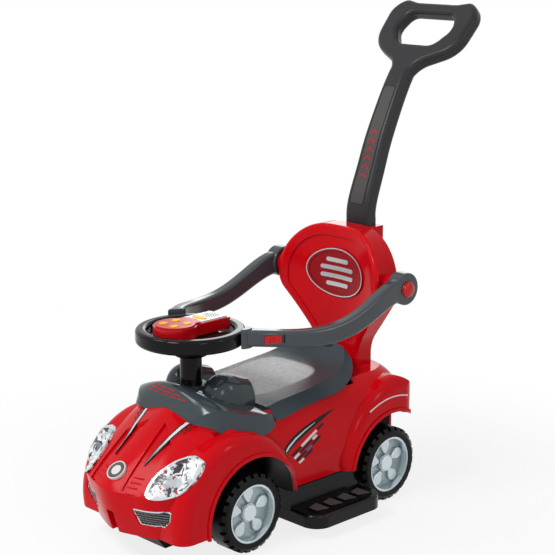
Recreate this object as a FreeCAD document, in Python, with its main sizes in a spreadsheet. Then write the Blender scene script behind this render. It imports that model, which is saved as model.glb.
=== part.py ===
import FreeCAD, Part
import math
import os

import Sketcher
from FreeCAD import Rotation, Vector

# Driving dimensions in millimetres, degrees and counts. +X points forward, +Y to the car's left
# and +Z up; the origin lies on the ground under the middle of the outline.
SIZES = {
    # fits
    "overrun": 5.0,
    "fit_clearance": 0.4,
    "running_clearance": 0.05,
    "slide_clearance": 0.3,
    # wheels and axles
    "wheelbase": 367.0,
    "front_axle_x": 221.5,
    "tyre_radius": 73.5,
    "tyre_width": 52.0,
    "tyre_outer_y": 142.0,
    "tyre_bead_radius": 55.0,
    "tyre_shoulder_drop": 9.0,
    "tyre_shoulder_width": 6.0,
    "tread_notch_width": 7.0,
    "tread_notch_depth": 6.0,
    "tread_notch_reach": 13.0,
    "tread_notch_count": 24,
    "rim_inset": 2.0,
    "rim_barrel_wall": 4.0,
    "rim_hub_radius": 15.0,
    "rim_web_depth": 17.0,
    "rim_web_wall": 7.0,
    "rim_boss_radius": 17.0,
    "rim_boss_rise": 7.0,
    "rim_petal_radius": 12.0,
    "rim_petal_orbit": 37.0,
    "rim_petal_root_radius": 5.0,
    "rim_petal_root_orbit": 23.5,
    "rim_petal_height": 6.0,
    "rim_petal_round": 2.5,
    "rim_petal_count": 5,
    "nut_radius": 12.0,
    "nut_thickness": 2.5,
    "nut_room_radius": 13.5,
    "nut_room_depth": 5.0,
    "cap_radius": 15.5,
    "cap_thickness": 4.0,
    "cap_round": 2.5,
    "axle_radius": 5.0,
    "axle_end_reach": 4.0,
    "spacer_radius": 8.5,
    # body form
    "nose_x": 446.0,
    "nose_sweep": 112.0,
    "hood_run": 146.0,
    "bumper_tuck": 23.0,
    "tail_x": -200.0,
    "tail_lean": 16.0,
    "tail_lip_z": 163.0,
    "tail_corner": 36.0,
    "tail_round": 64.0,
    "tail_tuck": 22.0,
    "tail_sweep": 70.0,
    "body_half_width": 134.0,
    "sill_tuck": 8.0,
    "shoulder_run": 34.0,
    "bumper_bottom_z": 56.0,
    "ridge_z": 143.0,
    "deck_z": 258.0,
    "sill_z": 90.0,
    "body_wall": 3.5,
    "front_fender_radius": 146.0,
    "front_fender_shift_x": 30.0,
    "front_fender_shift_z": 13.0,
    "rear_fender_radius": 150.0,
    "rear_fender_shift_x": 22.0,
    "rear_fender_shift_z": 27.0,
    "fender_face_y": 147.0,
    "fender_depth": 80.0,
    "fender_round": 26.0,
    "arch_radius": 108.0,
    "arch_lip_width": 7.0,
    "arch_lip_rise": 2.5,
    "top_opening_front_x": 286.0,
    "top_opening_rear_x": -70.0,
    "top_opening_half_width": 112.0,
    "top_opening_floor_z": 200.0,
    "spine_front_half_width": 33.0,
    "spine_rear_half_width": 19.0,
    "valley_front_x": 435.0,
    "valley_length": 113.0,
    "valley_outer_y": 62.0,
    "valley_depth": 4.0,
    "tow_notch_half_width": 9.0,
    "tow_notch_top_z": 101.0,
    "tow_notch_depth": 9.0,
    # lamps and badges
    "lamp_inner_y": 80.0,
    "lamp_outer_y": 138.0,
    "lamp_low_z": 147.0,
    "lamp_high_z": 200.0,
    "lamp_belly": 30.0,
    "lamp_proud": 1.6,
    "lamp_depth": 3.5,
    "fog_inner_y": 59.0,
    "fog_outer_y": 117.0,
    "fog_low_z": 85.0,
    "fog_high_z": 117.0,
    "fog_recess": 4.0,
    "fog_depth": 9.0,
    "fog_bar_thickness": 2.0,
    "fog_bar_count": 9,
    "fog_frame_width": 3.5,
    "badge_radius": 19.0,
    "badge_proud": 3.0,
    "badge_depth": 2.0,
    "badge_z": 170.0,
    # chassis
    "floor_z": 84.0,
    "floor_thickness": 4.0,
    "chassis_wall": 3.5,
    "front_well_inner_y": 52.0,
    "rear_well_inner_y": 78.0,
    "tub_half_width": 90.0,
    "tub_top_z": 226.0,
    "tub_gap": 3.0,
    "post_length": 34.0,
    "post_half_width": 52.0,
    "axle_block_length": 28.0,
    "axle_block_inner_y": 58.0,
    "axle_block_drop": 24.0,
    "kingpin_y": 60.0,
    "kingpin_boss_radius": 12.0,
    "kingpin_boss_top_z": 140.0,
    "steering_boss_radius": 13.0,
    "steering_boss_height": 46.0,
    "chin_front_x": 392.0,
    "chin_length": 62.0,
    "chin_half_width": 66.0,
    "chin_low_z": 28.0,
    # footboards
    "footboard_front_x": 115.0,
    "footboard_length": 187.0,
    "footboard_inner_y": 84.0,
    "footboard_outer_y": 196.0,
    "footboard_low_z": 24.0,
    "footboard_top_z": 50.0,
    "footboard_corner": 34.0,
    "footboard_round": 5.0,
    "footboard_wall": 3.0,
    "footboard_block_outer_y": 128.0,
    "footboard_pad_height": 2.5,
    "footboard_pad_count": 4,
    "footboard_pad_width": 30.0,
    "footboard_pad_reach": 40.0,
    # cowl
    "cowl_front_x": 301.0,
    "cowl_length": 138.5,
    "cowl_half_width": 137.0,
    "cowl_base_z": 222.0,
    "cowl_height": 77.0,
    "cowl_wall": 3.0,
    "cowl_side_lean": 9.0,
    "hump_y": 50.0,
    "hump_half_width": 35.0,
    "hump_rear_x": 162.0,
    "hump_length": 88.0,
    "hump_base_z": 246.0,
    "hump_top_z": 313.0,
    "collar_radius": 30.0,
    "collar_top_z": 293.0,
    "collar_height": 24.0,
    # seat lid
    "seat_front_x": 158.0,
    "seat_length": 254.0,
    "seat_half_width": 131.0,
    "seat_lip_z": 229.0,
    "seat_rise": 82.0,
    "seat_wall": 3.0,
    "seat_side_lean": 22.0,
    "seat_hinge_x": 154.0,
    "seat_hinge_z": 249.0,
    "seat_pin_radius": 2.5,
    "seat_barrel_radius": 5.5,
    "seat_barrel_half_length": 58.0,
    "seat_lug_width": 5.0,
    "seat_gap": 2.5,
    # backrest
    "back_face_x": -140.0,
    "back_wing_forward": 42.0,
    "back_half_width": 140.0,
    "back_wing_depth": 66.0,
    "back_depth": 40.0,
    "back_top_z": 530.0,
    "back_bottom_z": 226.0,
    "back_round": 7.0,
    "back_wall": 4.0,
    "back_panel_inset": 22.0,
    "back_panel_sink": 3.0,
    "cover_depth": 10.0,
    "cover_bottom_z": 300.0,
    "socket_half_width": 38.0,
    "socket_wall": 6.0,
    "socket_bottom_z": 392.0,
    "socket_top_z": 524.0,
    "oval_half_width": 76.0,
    "oval_half_height": 49.0,
    "oval_z": 436.0,
    "oval_proud": 3.0,
    "oval_border": 7.0,
    # guard arms
    "pivot_x": -144.0,
    "pivot_z": 433.0,
    "pivot_inner_y": 150.0,
    "pivot_outer_y": 179.0,
    "pivot_disc_radius": 31.0,
    "pivot_pin_radius": 8.0,
    "pivot_pin_root_y": 122.0,
    "pivot_button_radius": 15.5,
    "pivot_button_room": 9.0,
    "pivot_button_proud": 3.0,
    "pivot_button_travel": 3.0,
    "arm_height": 29.0,
    "arm_width": 25.0,
    "arm_round": 7.0,
    "arm_reach_x": 338.0,
    "arm_drop": 54.0,
    "arm_front_y": 94.0,
    "rim_gap": 3.5,
    "latch_length": 30.0,
    "latch_height": 14.0,
    "latch_depth": 6.0,
    "latch_proud": 2.5,
    "latch_travel": 8.0,
    # steering
    "steering_x": 243.0,
    "ring_radius": 100.0,
    "ring_width": 21.0,
    "ring_low_z": 371.0,
    "ring_top_z": 399.0,
    "ring_round": 7.0,
    "spoke_width": 24.0,
    "spoke_thickness": 13.0,
    "spoke_count": 4,
    "hub_low_z": 346.0,
    "hub_low_radius": 30.0,
    "hub_radius": 52.0,
    "hub_top_z": 386.0,
    "column_radius": 20.0,
    "column_low_z": 276.0,
    "rod_radius": 5.0,
    "rod_low_z": 66.0,
    "rod_top_z": 382.0,
    "panel_top_z": 409.0,
    "panel_round_radius": 40.0,
    "panel_round_shift": 36.0,
    "panel_tail_half_width": 27.0,
    "panel_tail_reach": 72.0,
    "panel_edge_round": 4.0,
    "face_inset": 4.0,
    "face_thickness": 3.0,
    "key_radius": 8.0,
    "key_orbit": 21.0,
    "key_height": 5.5,
    "key_room": 4.0,
    "key_round": 2.0,
    "key_travel": 2.0,
    "oval_key_half_length": 17.0,
    "oval_key_half_width": 8.0,
    "oval_key_shift": 22.0,
    # steering linkage
    "crank_radius": 35.0,
    "crank_thickness": 9.0,
    "crank_width": 18.0,
    "link_pin_radius": 4.0,
    "link_pin_slot_side": 0.7,
    "link_pin_slot_run": 5.0,
    "tie_low_z": 60.5,
    "tie_thickness": 4.5,
    "tie_width": 20.0,
    "knuckle_arm_thickness": 7.0,
    "knuckle_radius": 13.0,
    "knuckle_sleeve_radius": 10.0,
    "kingpin_bend_radius": 11.0,
    "kingpin_top_reach": 6.0,
    "washer_radius": 7.5,
    "washer_thickness": 2.5,
    # push handle
    "pole_x": -206.0,
    "pole_width": 58.0,
    "pole_thickness": 34.0,
    "pole_round": 9.0,
    "pole_bottom_z": 402.0,
    "pole_straight_top_z": 536.0,
    "pole_run_back": 115.5,
    "pole_rise": 278.0,
    "pole_neck_width": 46.0,
    "loop_tilt": 42.5,
    "loop_half_width": 112.0,
    "loop_length": 173.5,
    "loop_thickness": 30.0,
    "loop_round": 10.0,
    "lock_button_z": 500.0,
    "lock_button_radius": 8.0,
    "lock_boss_depth": 10.0,
    "lock_button_proud": 3.0,
    "lock_button_travel": 3.0,
}

doc = FreeCAD.newDocument("push_car")
sheet = doc.addObject("Spreadsheet::Sheet", "sizes")
for row, (alias, value) in enumerate(SIZES.items(), start=1):
    sheet.set(f"A{row}", alias)
    sheet.set(f"B{row}", str(value))
    sheet.setAlias(f"B{row}", alias)
doc.recompute()


class Sizes:
    """The sheet's cells as attributes, so that every shape reads the same numbers."""

    def __getattr__(self, alias):
        return float(getattr(sheet, alias))


s = Sizes()
UP = Vector(0, 0, 1)
LEFT = Vector(0, 1, 0)
AHEAD = Vector(1, 0, 0)
ORIGIN = Vector(0, 0, 0)
SIDES = {"left": 1, "right": -1}
pieces = []

rear_axle_x = s.front_axle_x - s.wheelbase
axle_z = s.tyre_radius
tyre_inner_y = s.tyre_outer_y - s.tyre_width
rim_outer_y = s.tyre_outer_y - s.rim_inset
rim_inner_y = tyre_inner_y + s.rim_inset


def keep(name, item):
    """Registers a finished sub-part under the label that names its file."""
    item.Label = name
    pieces.append(item)
    return item


def feature(name, shape):
    """A sub-part whose shape comes from Part's own functions."""
    item = doc.addObject("Part::Feature", name)
    item.Shape = shape
    return keep(name, item)


def mirrored(shape):
    """The same shape on the car's right side."""
    return shape.mirror(ORIGIN, LEFT)


def both(name, shape):
    """Left and right sub-parts from the left one's shape."""
    return feature(f"{name}_left", shape), feature(f"{name}_right", mirrored(shape))


def bar(x0, x1, y0, y1, z0, z1):
    """A block between two corners."""
    return Part.makeBox(x1 - x0, y1 - y0, z1 - z0, Vector(x0, y0, z0))


def upright(radius, x, y, z0, z1):
    """A vertical cylinder."""
    return Part.makeCylinder(radius, z1 - z0, Vector(x, y, z0), UP)


def crosswise(radius, x, z, y0, y1):
    """A cylinder along Y."""
    return Part.makeCylinder(radius, y1 - y0, Vector(x, y0, z), LEFT)


def polygon(points):
    """A closed wire through the points."""
    return Part.makePolygon(points + points[:1])


def prism(points, along):
    """A solid swept from a flat outline of points along a vector."""
    return Part.Face(polygon(points)).extrude(along)


def spline(points, start=None, end=None):
    """A smooth edge through the points, with end directions where they are given."""
    curve = Part.BSplineCurve()
    if start is None:
        curve.interpolate(Points=points)
    else:
        curve.interpolate(Points=points, InitialTangent=start, FinalTangent=end)
    return curve.toShape()


def rounded_all(shape, radius, choose=lambda edge: True):
    """The shape with the chosen edges rounded."""
    return shape.makeFillet(radius, [edge for edge in shape.Edges if choose(edge)])


def rounded_prism(corners, along):
    """A prism over an outline that is alike left and right, from its right half's corners.

    Each corner comes with the radius that rounds it, or zero.
    """
    right = [corner for corner, _ in corners]
    left = [Vector(p.x, -p.y, p.z) for p in reversed(right)]
    solid = prism(right + left, along)
    near = along.Length / 1000
    for corner, radius in corners:
        if radius:
            middle = corner + along * 0.5
            edges = [
                e
                for e in solid.Edges
                if (e.CenterOfMass - middle).Length < near
                or (mirrored(e).CenterOfMass - middle).Length < near
            ]
            solid = solid.makeFillet(radius, edges)
    return solid


# Expression-driven sketches for the turned and padded pieces.
def sketch_on(body, role, name, offset=None):
    """An empty sketch on one of the body's own origin planes, lifted by an expression."""
    sketch = body.newObject("Sketcher::SketchObject", name)
    plane = next(f for f in body.Origin.OriginFeatures if f.Role == role)
    sketch.AttachmentSupport = [(plane, "")]
    sketch.MapMode = "FlatFace"
    if offset:
        sketch.setExpression("AttachmentOffset.Base.z", offset)
    return sketch


def hold(sketch, kind, geometry, point, expression):
    """Ties one coordinate of a sketch point to an expression; zero lies on the axis."""
    if expression == "0":
        axis = -2 if kind == "DistanceX" else -1
        sketch.addConstraint(Sketcher.Constraint("PointOnObject", geometry, point, axis))
        return
    at = sketch.getPoint(geometry, point)
    now = at.x if kind == "DistanceX" else at.y
    index = sketch.addConstraint(Sketcher.Constraint(kind, -1, 1, geometry, point, now))
    sketch.setExpression(f"Constraints[{index}]", expression)


def draw_polygon(sketch, corners):
    """A closed polygon whose corners are pairs of expressions."""
    count = len(corners)
    guess = [
        Vector(2 + math.cos(2 * math.pi * i / count), 2 + math.sin(2 * math.pi * i / count), 0)
        for i in range(count)
    ]
    first = sketch.GeometryCount
    for i in range(count):
        sketch.addGeometry(Part.LineSegment(guess[i], guess[(i + 1) % count]))
    for i in range(count):
        after = first + (i + 1) % count
        sketch.addConstraint(Sketcher.Constraint("Coincident", first + i, 2, after, 1))
    for i, (across, up) in enumerate(corners):
        hold(sketch, "DistanceX", first + i, 1, across)
        hold(sketch, "DistanceY", first + i, 1, up)


def draw_circle(sketch, across, up, radius):
    """A circle whose centre and radius are expressions."""
    unit = Vector(1, 1, 0)
    index = sketch.addGeometry(Part.Circle(unit, UP, 1))
    hold(sketch, "DistanceX", index, 3, across)
    hold(sketch, "DistanceY", index, 3, up)
    size = sketch.addConstraint(Sketcher.Constraint("Radius", index, 1))
    sketch.setExpression(f"Constraints[{size}]", radius)


def revolve(body, sketch):
    """Turns the sketch round its own horizontal axis."""
    turned = body.newObject("PartDesign::Revolution", "turned")
    turned.Profile = sketch
    turned.ReferenceAxis = (sketch, ["H_Axis"])
    turned.Angle = 360
    return turned


def pad(body, sketch, length, backward=False):
    """Pads the sketch by an expression."""
    block = body.newObject("PartDesign::Pad", "pad")
    block.Profile = sketch
    block.setExpression("Length", length)
    block.Reversed = backward
    return block


def pocket(body, sketch, length, backward=False):
    """Cuts the sketch out by an expression."""
    cut = body.newObject("PartDesign::Pocket", "pocket")
    cut.Profile = sketch
    cut.setExpression("Length", length)
    cut.Reversed = backward
    return cut


def around(body, originals, sketch, axis, count):
    """Repeats features round an axis of a sketch."""
    pattern = body.newObject("PartDesign::PolarPattern", "around")
    pattern.Originals = originals
    pattern.Axis = (sketch, [axis])
    pattern.Angle = 360
    pattern.setExpression("Occurrences", count)
    body.Tip = pattern
    return pattern


def round_edges(body, base, edges, radius):
    """Rounds named edges of a feature by an expression."""
    softened = body.newObject("PartDesign::Fillet", "softened")
    softened.Base = (base, edges)
    softened.setExpression("Radius", radius)
    body.Tip = softened
    return softened


def edge_names(shape, choose):
    """Names of the edges that a test picks."""
    return [f"Edge{i}" for i, edge in enumerate(shape.Edges, start=1) if choose(edge)]


# Body form: horizontal outlines lofted from the bumper to the deck, with a disc-shaped fender
# over each wheel. Every skin, liner, lamp and cap of the body is cut from this form, grown or shrunk.
NOSE_SHARES = ((0, 0), (0.12, 0.4), (0.33, 0.76), (0.6, 0.93), (1, 1))
TAIL_SHARES = ((0, 0), (0.04, 0.5), (0.22, 0.8), (0.52, 0.94), (1, 1))
# height between bumper and ridge, bumper tuck, sill tuck, tail tuck
LOWER_SHARES = ((0, 1, 1, 1), (0.35, 0.56, 0.75, 0.6), (0.7, 0.2, 0.35, 0.25), (1, 0, 0, 0))
# height between ridge and deck, hood run, shoulder run, tail lean
UPPER_SHARES = (
    (0, 0, 0, 0),
    (0.2, 0.16, 0.02, 0.35),
    (0.46, 0.41, 0.05, 0.8),
    (0.68, 0.64, 0.16, 0.9),
    (0.86, 0.84, 0.45, 0.5),
    (1, 1, 1, -0.5),
)


def half_curve(shares, end_x, sweep, half):
    """An end curve of the plan, from the right side round to the left."""
    arm = [Vector(end_x - share_x * sweep, share_y * half, 0) for share_x, share_y in shares]
    return [Vector(p.x, -p.y, 0) for p in reversed(arm[1:])] + arm


def plan_wire(z, front, half, rear):
    """One horizontal outline of the body."""
    nose = half_curve(NOSE_SHARES, front, s.nose_sweep, half)
    tail = half_curve(TAIL_SHARES, rear, -s.tail_sweep, half)
    edges = [
        spline(nose, AHEAD, AHEAD * -1),
        Part.makeLine(nose[-1], tail[-1]),
        spline(list(reversed(tail)), AHEAD * -1, AHEAD),
        Part.makeLine(tail[0], nose[0]),
    ]
    wire = Part.Wire(edges)
    wire.translate(UP * z)
    return wire


def lower_level(row, grow):
    """A plan outline between the bumper's foot and the ridge."""
    height_share, nose_share, side_share, tail_share = row
    z = s.bumper_bottom_z + height_share * (s.ridge_z - s.bumper_bottom_z)
    front = s.nose_x - nose_share * s.bumper_tuck + grow
    half = s.body_half_width - side_share * s.sill_tuck + grow
    rear = s.tail_x + tail_share * s.tail_tuck - grow
    return z, front, half, rear


def upper_level(row, grow):
    """A plan outline between the ridge and the deck."""
    height_share, hood_share, side_share, tail_share = row
    z = s.ridge_z + height_share * (s.deck_z + grow - s.ridge_z)
    front = s.nose_x - hood_share * s.hood_run + grow
    half = s.body_half_width - side_share * s.shoulder_run + grow
    rear = s.tail_x - tail_share * s.tail_lean - grow
    return z, front, half, rear


def hull_form(grow):
    """The body without its fenders, grown by a length on every side."""
    lower = [plan_wire(*lower_level(row, grow)) for row in LOWER_SHARES]
    upper = [plan_wire(*upper_level(row, grow)) for row in UPPER_SHARES]
    return Part.makeLoft(lower, True, False).fuse(Part.makeLoft(upper, True, False))


def fender_disc(x, z, radius, grow):
    """The round fender bulge over one left wheel."""
    inner_y = s.fender_face_y - s.fender_depth
    disc = crosswise(radius + grow, x, z, inner_y, s.fender_face_y + grow)
    outer = max(disc.Edges, key=lambda edge: edge.CenterOfMass.y)
    return disc.makeFillet(s.fender_round, [outer])


def fender_form(grow):
    """All four fender bulges, cut off at the bumper's foot, the sill and the tail."""
    front = fender_disc(
        s.front_axle_x + s.front_fender_shift_x,
        axle_z + s.front_fender_shift_z,
        s.front_fender_radius,
        grow,
    )
    rear = fender_disc(
        rear_axle_x - s.rear_fender_shift_x,
        axle_z + s.rear_fender_shift_z,
        s.rear_fender_radius,
        grow,
    )
    far = s.nose_x - s.tail_x
    front_room_above = bar(0, s.nose_x, 0, far, s.bumper_bottom_z, far)
    rear_x, outer_y = s.tail_x - s.tail_lean - grow, s.fender_face_y + grow
    rear_room_above = bar(rear_x, 0, 0, outer_y, s.sill_z, far)
    corner = next(
        e
        for e in rear_room_above.Edges
        if e.BoundBox.XMax < rear_x / 2 and e.BoundBox.YMin > outer_y / 2
    )
    rear_room_above = rear_room_above.makeFillet(s.tail_corner, [corner])
    top_z = axle_z + s.rear_fender_shift_z + s.rear_fender_radius + grow
    round_room = bar(rear_x, 0, 0, outer_y, s.sill_z, top_z)
    back_edge = next(
        e for e in round_room.Edges if e.BoundBox.XMax < rear_x / 2 and e.BoundBox.ZMin > top_z / 2
    )
    round_room = round_room.makeFillet(s.tail_round + grow, [back_edge])
    rear = rear.common(rear_room_above).common(round_room)
    left = front.common(front_room_above).fuse(rear)
    return left, mirrored(left)


def body_form(grow):
    """The whole outer form, grown by a length on every side."""
    left, right = fender_form(grow)
    return hull_form(grow).fuse([left, right])


skin = body_form(0)
lining = body_form(-s.body_wall)
guard_skin = body_form(s.fit_clearance)


def wheel_room(radius, inner_y):
    """The round rooms of the front or rear left wheel, through the body's side."""
    return lambda x: crosswise(radius, x, axle_z, inner_y, s.fender_face_y + s.overrun)


def side_pair(shape):
    """A left shape and its mirror image."""
    return [shape, mirrored(shape)]


front_room = wheel_room(s.arch_radius, s.front_well_inner_y)(s.front_axle_x)
rear_room = wheel_room(s.arch_radius, s.rear_well_inner_y)(rear_axle_x)
rooms = side_pair(front_room) + side_pair(rear_room)


def arch_lips():
    """The raised lips round the four arches, sunk into the skin that carries them."""
    band = body_form(s.arch_lip_rise).cut(body_form(-s.body_wall))
    lips = []
    for x in (s.front_axle_x, rear_axle_x):
        reach = s.fender_face_y + s.overrun
        ring = crosswise(s.arch_radius + s.arch_lip_width, x, axle_z, s.body_half_width / 2, reach)
        lip = ring.common(band)
        lips += side_pair(lip)
    return lips


VALLEY_SKEW_SHARE = 0.8


def hood_valleys(grow, top, bottom):
    """Blocks over the valleys on both sides of the hood's spine, between two offsets of the skin."""
    front, length = s.valley_front_x + grow, s.valley_length + 2 * grow
    plan = [
        Vector(front, s.spine_front_half_width - grow, 0),
        Vector(front, s.valley_outer_y + grow, 0),
        Vector(front - length * VALLEY_SKEW_SHARE, s.valley_outer_y + grow, 0),
        Vector(front - length, s.spine_rear_half_width - grow, 0),
    ]
    column = prism(plan, UP * s.deck_z)
    column.translate(UP * s.ridge_z)
    return side_pair(column.common(hull_form(top)).cut(hull_form(bottom)))


def tow_block(grow, back):
    """A block in the middle of the bumper's foot: the tow notch, or the wall round it."""
    half = s.tow_notch_half_width + grow
    rear = s.nose_x - s.bumper_tuck - s.tow_notch_depth - back
    return bar(rear, s.nose_x + s.overrun, -half, half, 0, s.tow_notch_top_z + grow)


def top_opening(inset):
    """The hole in the top that the cowl and the seat lid cover, shrunk by an inset."""
    half = s.top_opening_half_width - inset
    rear = s.top_opening_rear_x + inset
    front = s.top_opening_front_x - inset
    return bar(rear, front, -half, half, s.top_opening_floor_z, s.deck_z + s.overrun)


guard_deck = guard_skin.cut(top_opening(s.fit_clearance))


def lamp_prism(gap):
    """A leaf-shaped prism along X over the left head lamp, shrunk by a gap."""
    inner = Vector(0, s.lamp_inner_y + gap, s.lamp_low_z + gap)
    outer = Vector(0, s.lamp_outer_y - gap, s.lamp_high_z - gap)
    middle = (inner + outer) * 0.5
    across = AHEAD.cross(outer - inner).normalize()
    belly = across * (s.lamp_belly - gap)
    arcs = [
        Part.Arc(inner, middle + belly, outer).toShape(),
        Part.Arc(outer, middle - belly, inner).toShape(),
    ]
    face = Part.Face(Part.Wire(arcs))
    face.translate(AHEAD * s.front_axle_x)
    return face.extrude(AHEAD * (s.nose_x - s.front_axle_x + s.overrun))


def fog_prism(gap):
    """A prism along X over the left fog grille, shrunk by a gap."""
    slope = (s.fog_high_z - s.fog_low_z) / 2
    outline = [
        Vector(0, s.fog_inner_y + gap, s.fog_low_z + gap),
        Vector(0, s.fog_outer_y - slope, s.fog_low_z + gap),
        Vector(0, s.fog_outer_y - gap, s.fog_low_z + slope),
        Vector(0, s.fog_outer_y - gap, s.fog_high_z - gap),
        Vector(0, s.fog_inner_y - slope / 2 + gap, s.fog_high_z - gap),
    ]
    solid = prism(outline, AHEAD * (s.nose_x - s.front_axle_x + s.overrun))
    solid.translate(AHEAD * s.front_axle_x)
    return solid


def hood_point(z):
    """The place on the hood's middle line at a height, with the hood's normal there."""
    line = Part.makeLine(Vector(s.steering_x, 0, z), Vector(s.nose_x + s.overrun, 0, z))
    x = max(vertex.X for vertex in line.common(skin).Vertexes)
    run = s.hood_run / (s.deck_z - s.ridge_z)
    normal = Vector(1, 0, run).normalize()
    return Vector(x, 0, z), normal


def badge_disc(radius, low, high):
    """A disc on the hood, between two heights above its surface."""
    at, normal = hood_point(s.badge_z)
    return Part.makeCylinder(radius, high - low, at + normal * low, normal)


def body_shell():
    """The red moulding: skin, hood valleys, tow notch and arch lips, with all its holes."""
    wall, sunk = s.body_wall, s.valley_depth
    room = lining.cut(hood_valleys(wall, s.overrun, -sunk - wall))
    solid = skin.cut(hood_valleys(0, s.overrun, -sunk)).cut(room)
    solid = solid.fuse(tow_block(wall, wall).common(skin)).cut(tow_block(0, 0))
    foot = s.bumper_bottom_z
    solid = solid.cut(bar(s.tail_x * 2, s.nose_x, -s.nose_x, s.nose_x, 0, foot + s.body_wall))
    waist_front = s.front_axle_x + s.arch_radius
    sill_block = bar(s.tail_x * 2, waist_front, -s.nose_x, s.nose_x, 0, s.sill_z)
    solid = solid.cut(sill_block).fuse(arch_lips())
    solid = solid.cut(rooms + [sill_block, top_opening(0)])
    solid = solid.cut(side_pair(lamp_prism(-s.fit_clearance)) + side_pair(fog_prism(-s.fit_clearance)))
    tail_cut = bar(
        s.tail_x * 2, rear_axle_x, s.rear_well_inner_y, s.nose_x, 0, s.tail_lip_z
    )
    solid = solid.cut(side_pair(tail_cut) + [backrest_blank(s.fit_clearance)])
    return solid.cut(badge_disc(s.badge_radius + s.fit_clearance, -s.badge_depth, s.overrun))


# Backrest: a shield-shaped shell that wraps forward at its wings, on a stem let into the deck.
# half-width, height above the deck and corner radius, as shares of the half-width and the height
SHIELD_SHARES = ((0.41, -0.13, 0), (0.41, 0.155, 0.25), (0.965, 0.53, 0.2), (0.965, 1, 0.386))


def shield(grow):
    """A block along X with the shield's outline, grown by a length."""
    height = s.back_top_z - s.deck_z
    depth = 2 * (s.back_depth + s.back_wing_depth + s.back_wing_forward)
    corners = []
    for half_share, up_share, radius_share in SHIELD_SHARES:
        y = half_share * s.back_half_width + grow
        z = s.deck_z + up_share * height + (grow if up_share == 1 else 0)
        radius = radius_share * height + grow if radius_share else 0
        corners.append((Vector(s.back_face_x - depth / 2, -y, z), radius))
    return rounded_prism(corners, AHEAD * depth)


WING_REACH_SHARE = 1.15


def wing_arc(middle_x, forward):
    """A plan arc across the backrest that runs past its wings."""
    half = s.back_half_width * WING_REACH_SHARE
    wing = middle_x + forward * WING_REACH_SHARE**2
    return Part.Arc(Vector(wing, half, 0), Vector(middle_x, 0, 0), Vector(wing, -half, 0)).toShape()


def crescent(front_x, depth, wing_depth):
    """A plan crescent between the front arc and a flatter back arc."""
    front = wing_arc(front_x, s.back_wing_forward)
    back = wing_arc(front_x - depth, s.back_wing_forward - wing_depth + depth)
    ends = [
        Part.makeLine(front.Vertexes[0].Point, back.Vertexes[0].Point),
        Part.makeLine(front.Vertexes[-1].Point, back.Vertexes[-1].Point),
    ]
    wire = Part.Wire(Part.__sortEdges__([front, back] + ends))
    return Part.Face(wire)


def back_column(front_x, depth, wing_depth):
    """A tall column with a crescent plan."""
    plan = crescent(front_x, depth, wing_depth)
    plan.translate(UP * s.back_bottom_z)
    return plan.extrude(UP * (s.back_top_z + s.overrun - s.back_bottom_z))


def backrest_blank(grow):
    """The solid backrest before hollowing, grown by a length."""
    column = back_column(
        s.back_face_x + grow, s.back_depth + 2 * grow, s.back_wing_depth + 2 * grow
    )
    return column.common(shield(grow))


feature("body_shell", body_shell())


# Chassis: the black tub under the shell, with wheel wells, storage box, axle blocks and bosses.
CHIN_SHARES = ((1, 0), (0, 0), (0, 0.4), (0.42, 1), (0.8, 1), (1, 0.6))


def well_liner(x, inner_y, room):
    """The wall round one left wheel's room."""
    wall = s.chassis_wall
    outer = crosswise(s.arch_radius + wall, x, axle_z, inner_y - wall, s.fender_face_y)
    return outer.cut(room)


def storage_box():
    """The open box under the seat lid, between the wheel wells."""
    wall = s.chassis_wall
    reach = s.arch_radius + wall + s.tub_gap
    rear = rear_axle_x + reach
    front = s.front_axle_x - reach
    half = s.tub_half_width
    outside = bar(rear, front, -half, half, s.floor_z, s.tub_top_z)
    floor = s.floor_z + s.floor_thickness
    inside = bar(rear + wall, front - wall, wall - half, half - wall, floor, s.tub_top_z)
    return outside.cut(inside)


def chin():
    """The scoop that shows under the bumper."""
    drop = s.floor_z - s.chin_low_z
    outline = [
        Vector(s.chin_front_x - along * s.chin_length, -s.chin_half_width, s.floor_z - down * drop)
        for along, down in CHIN_SHARES
    ]
    return prism(outline, LEFT * (2 * s.chin_half_width))


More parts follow.
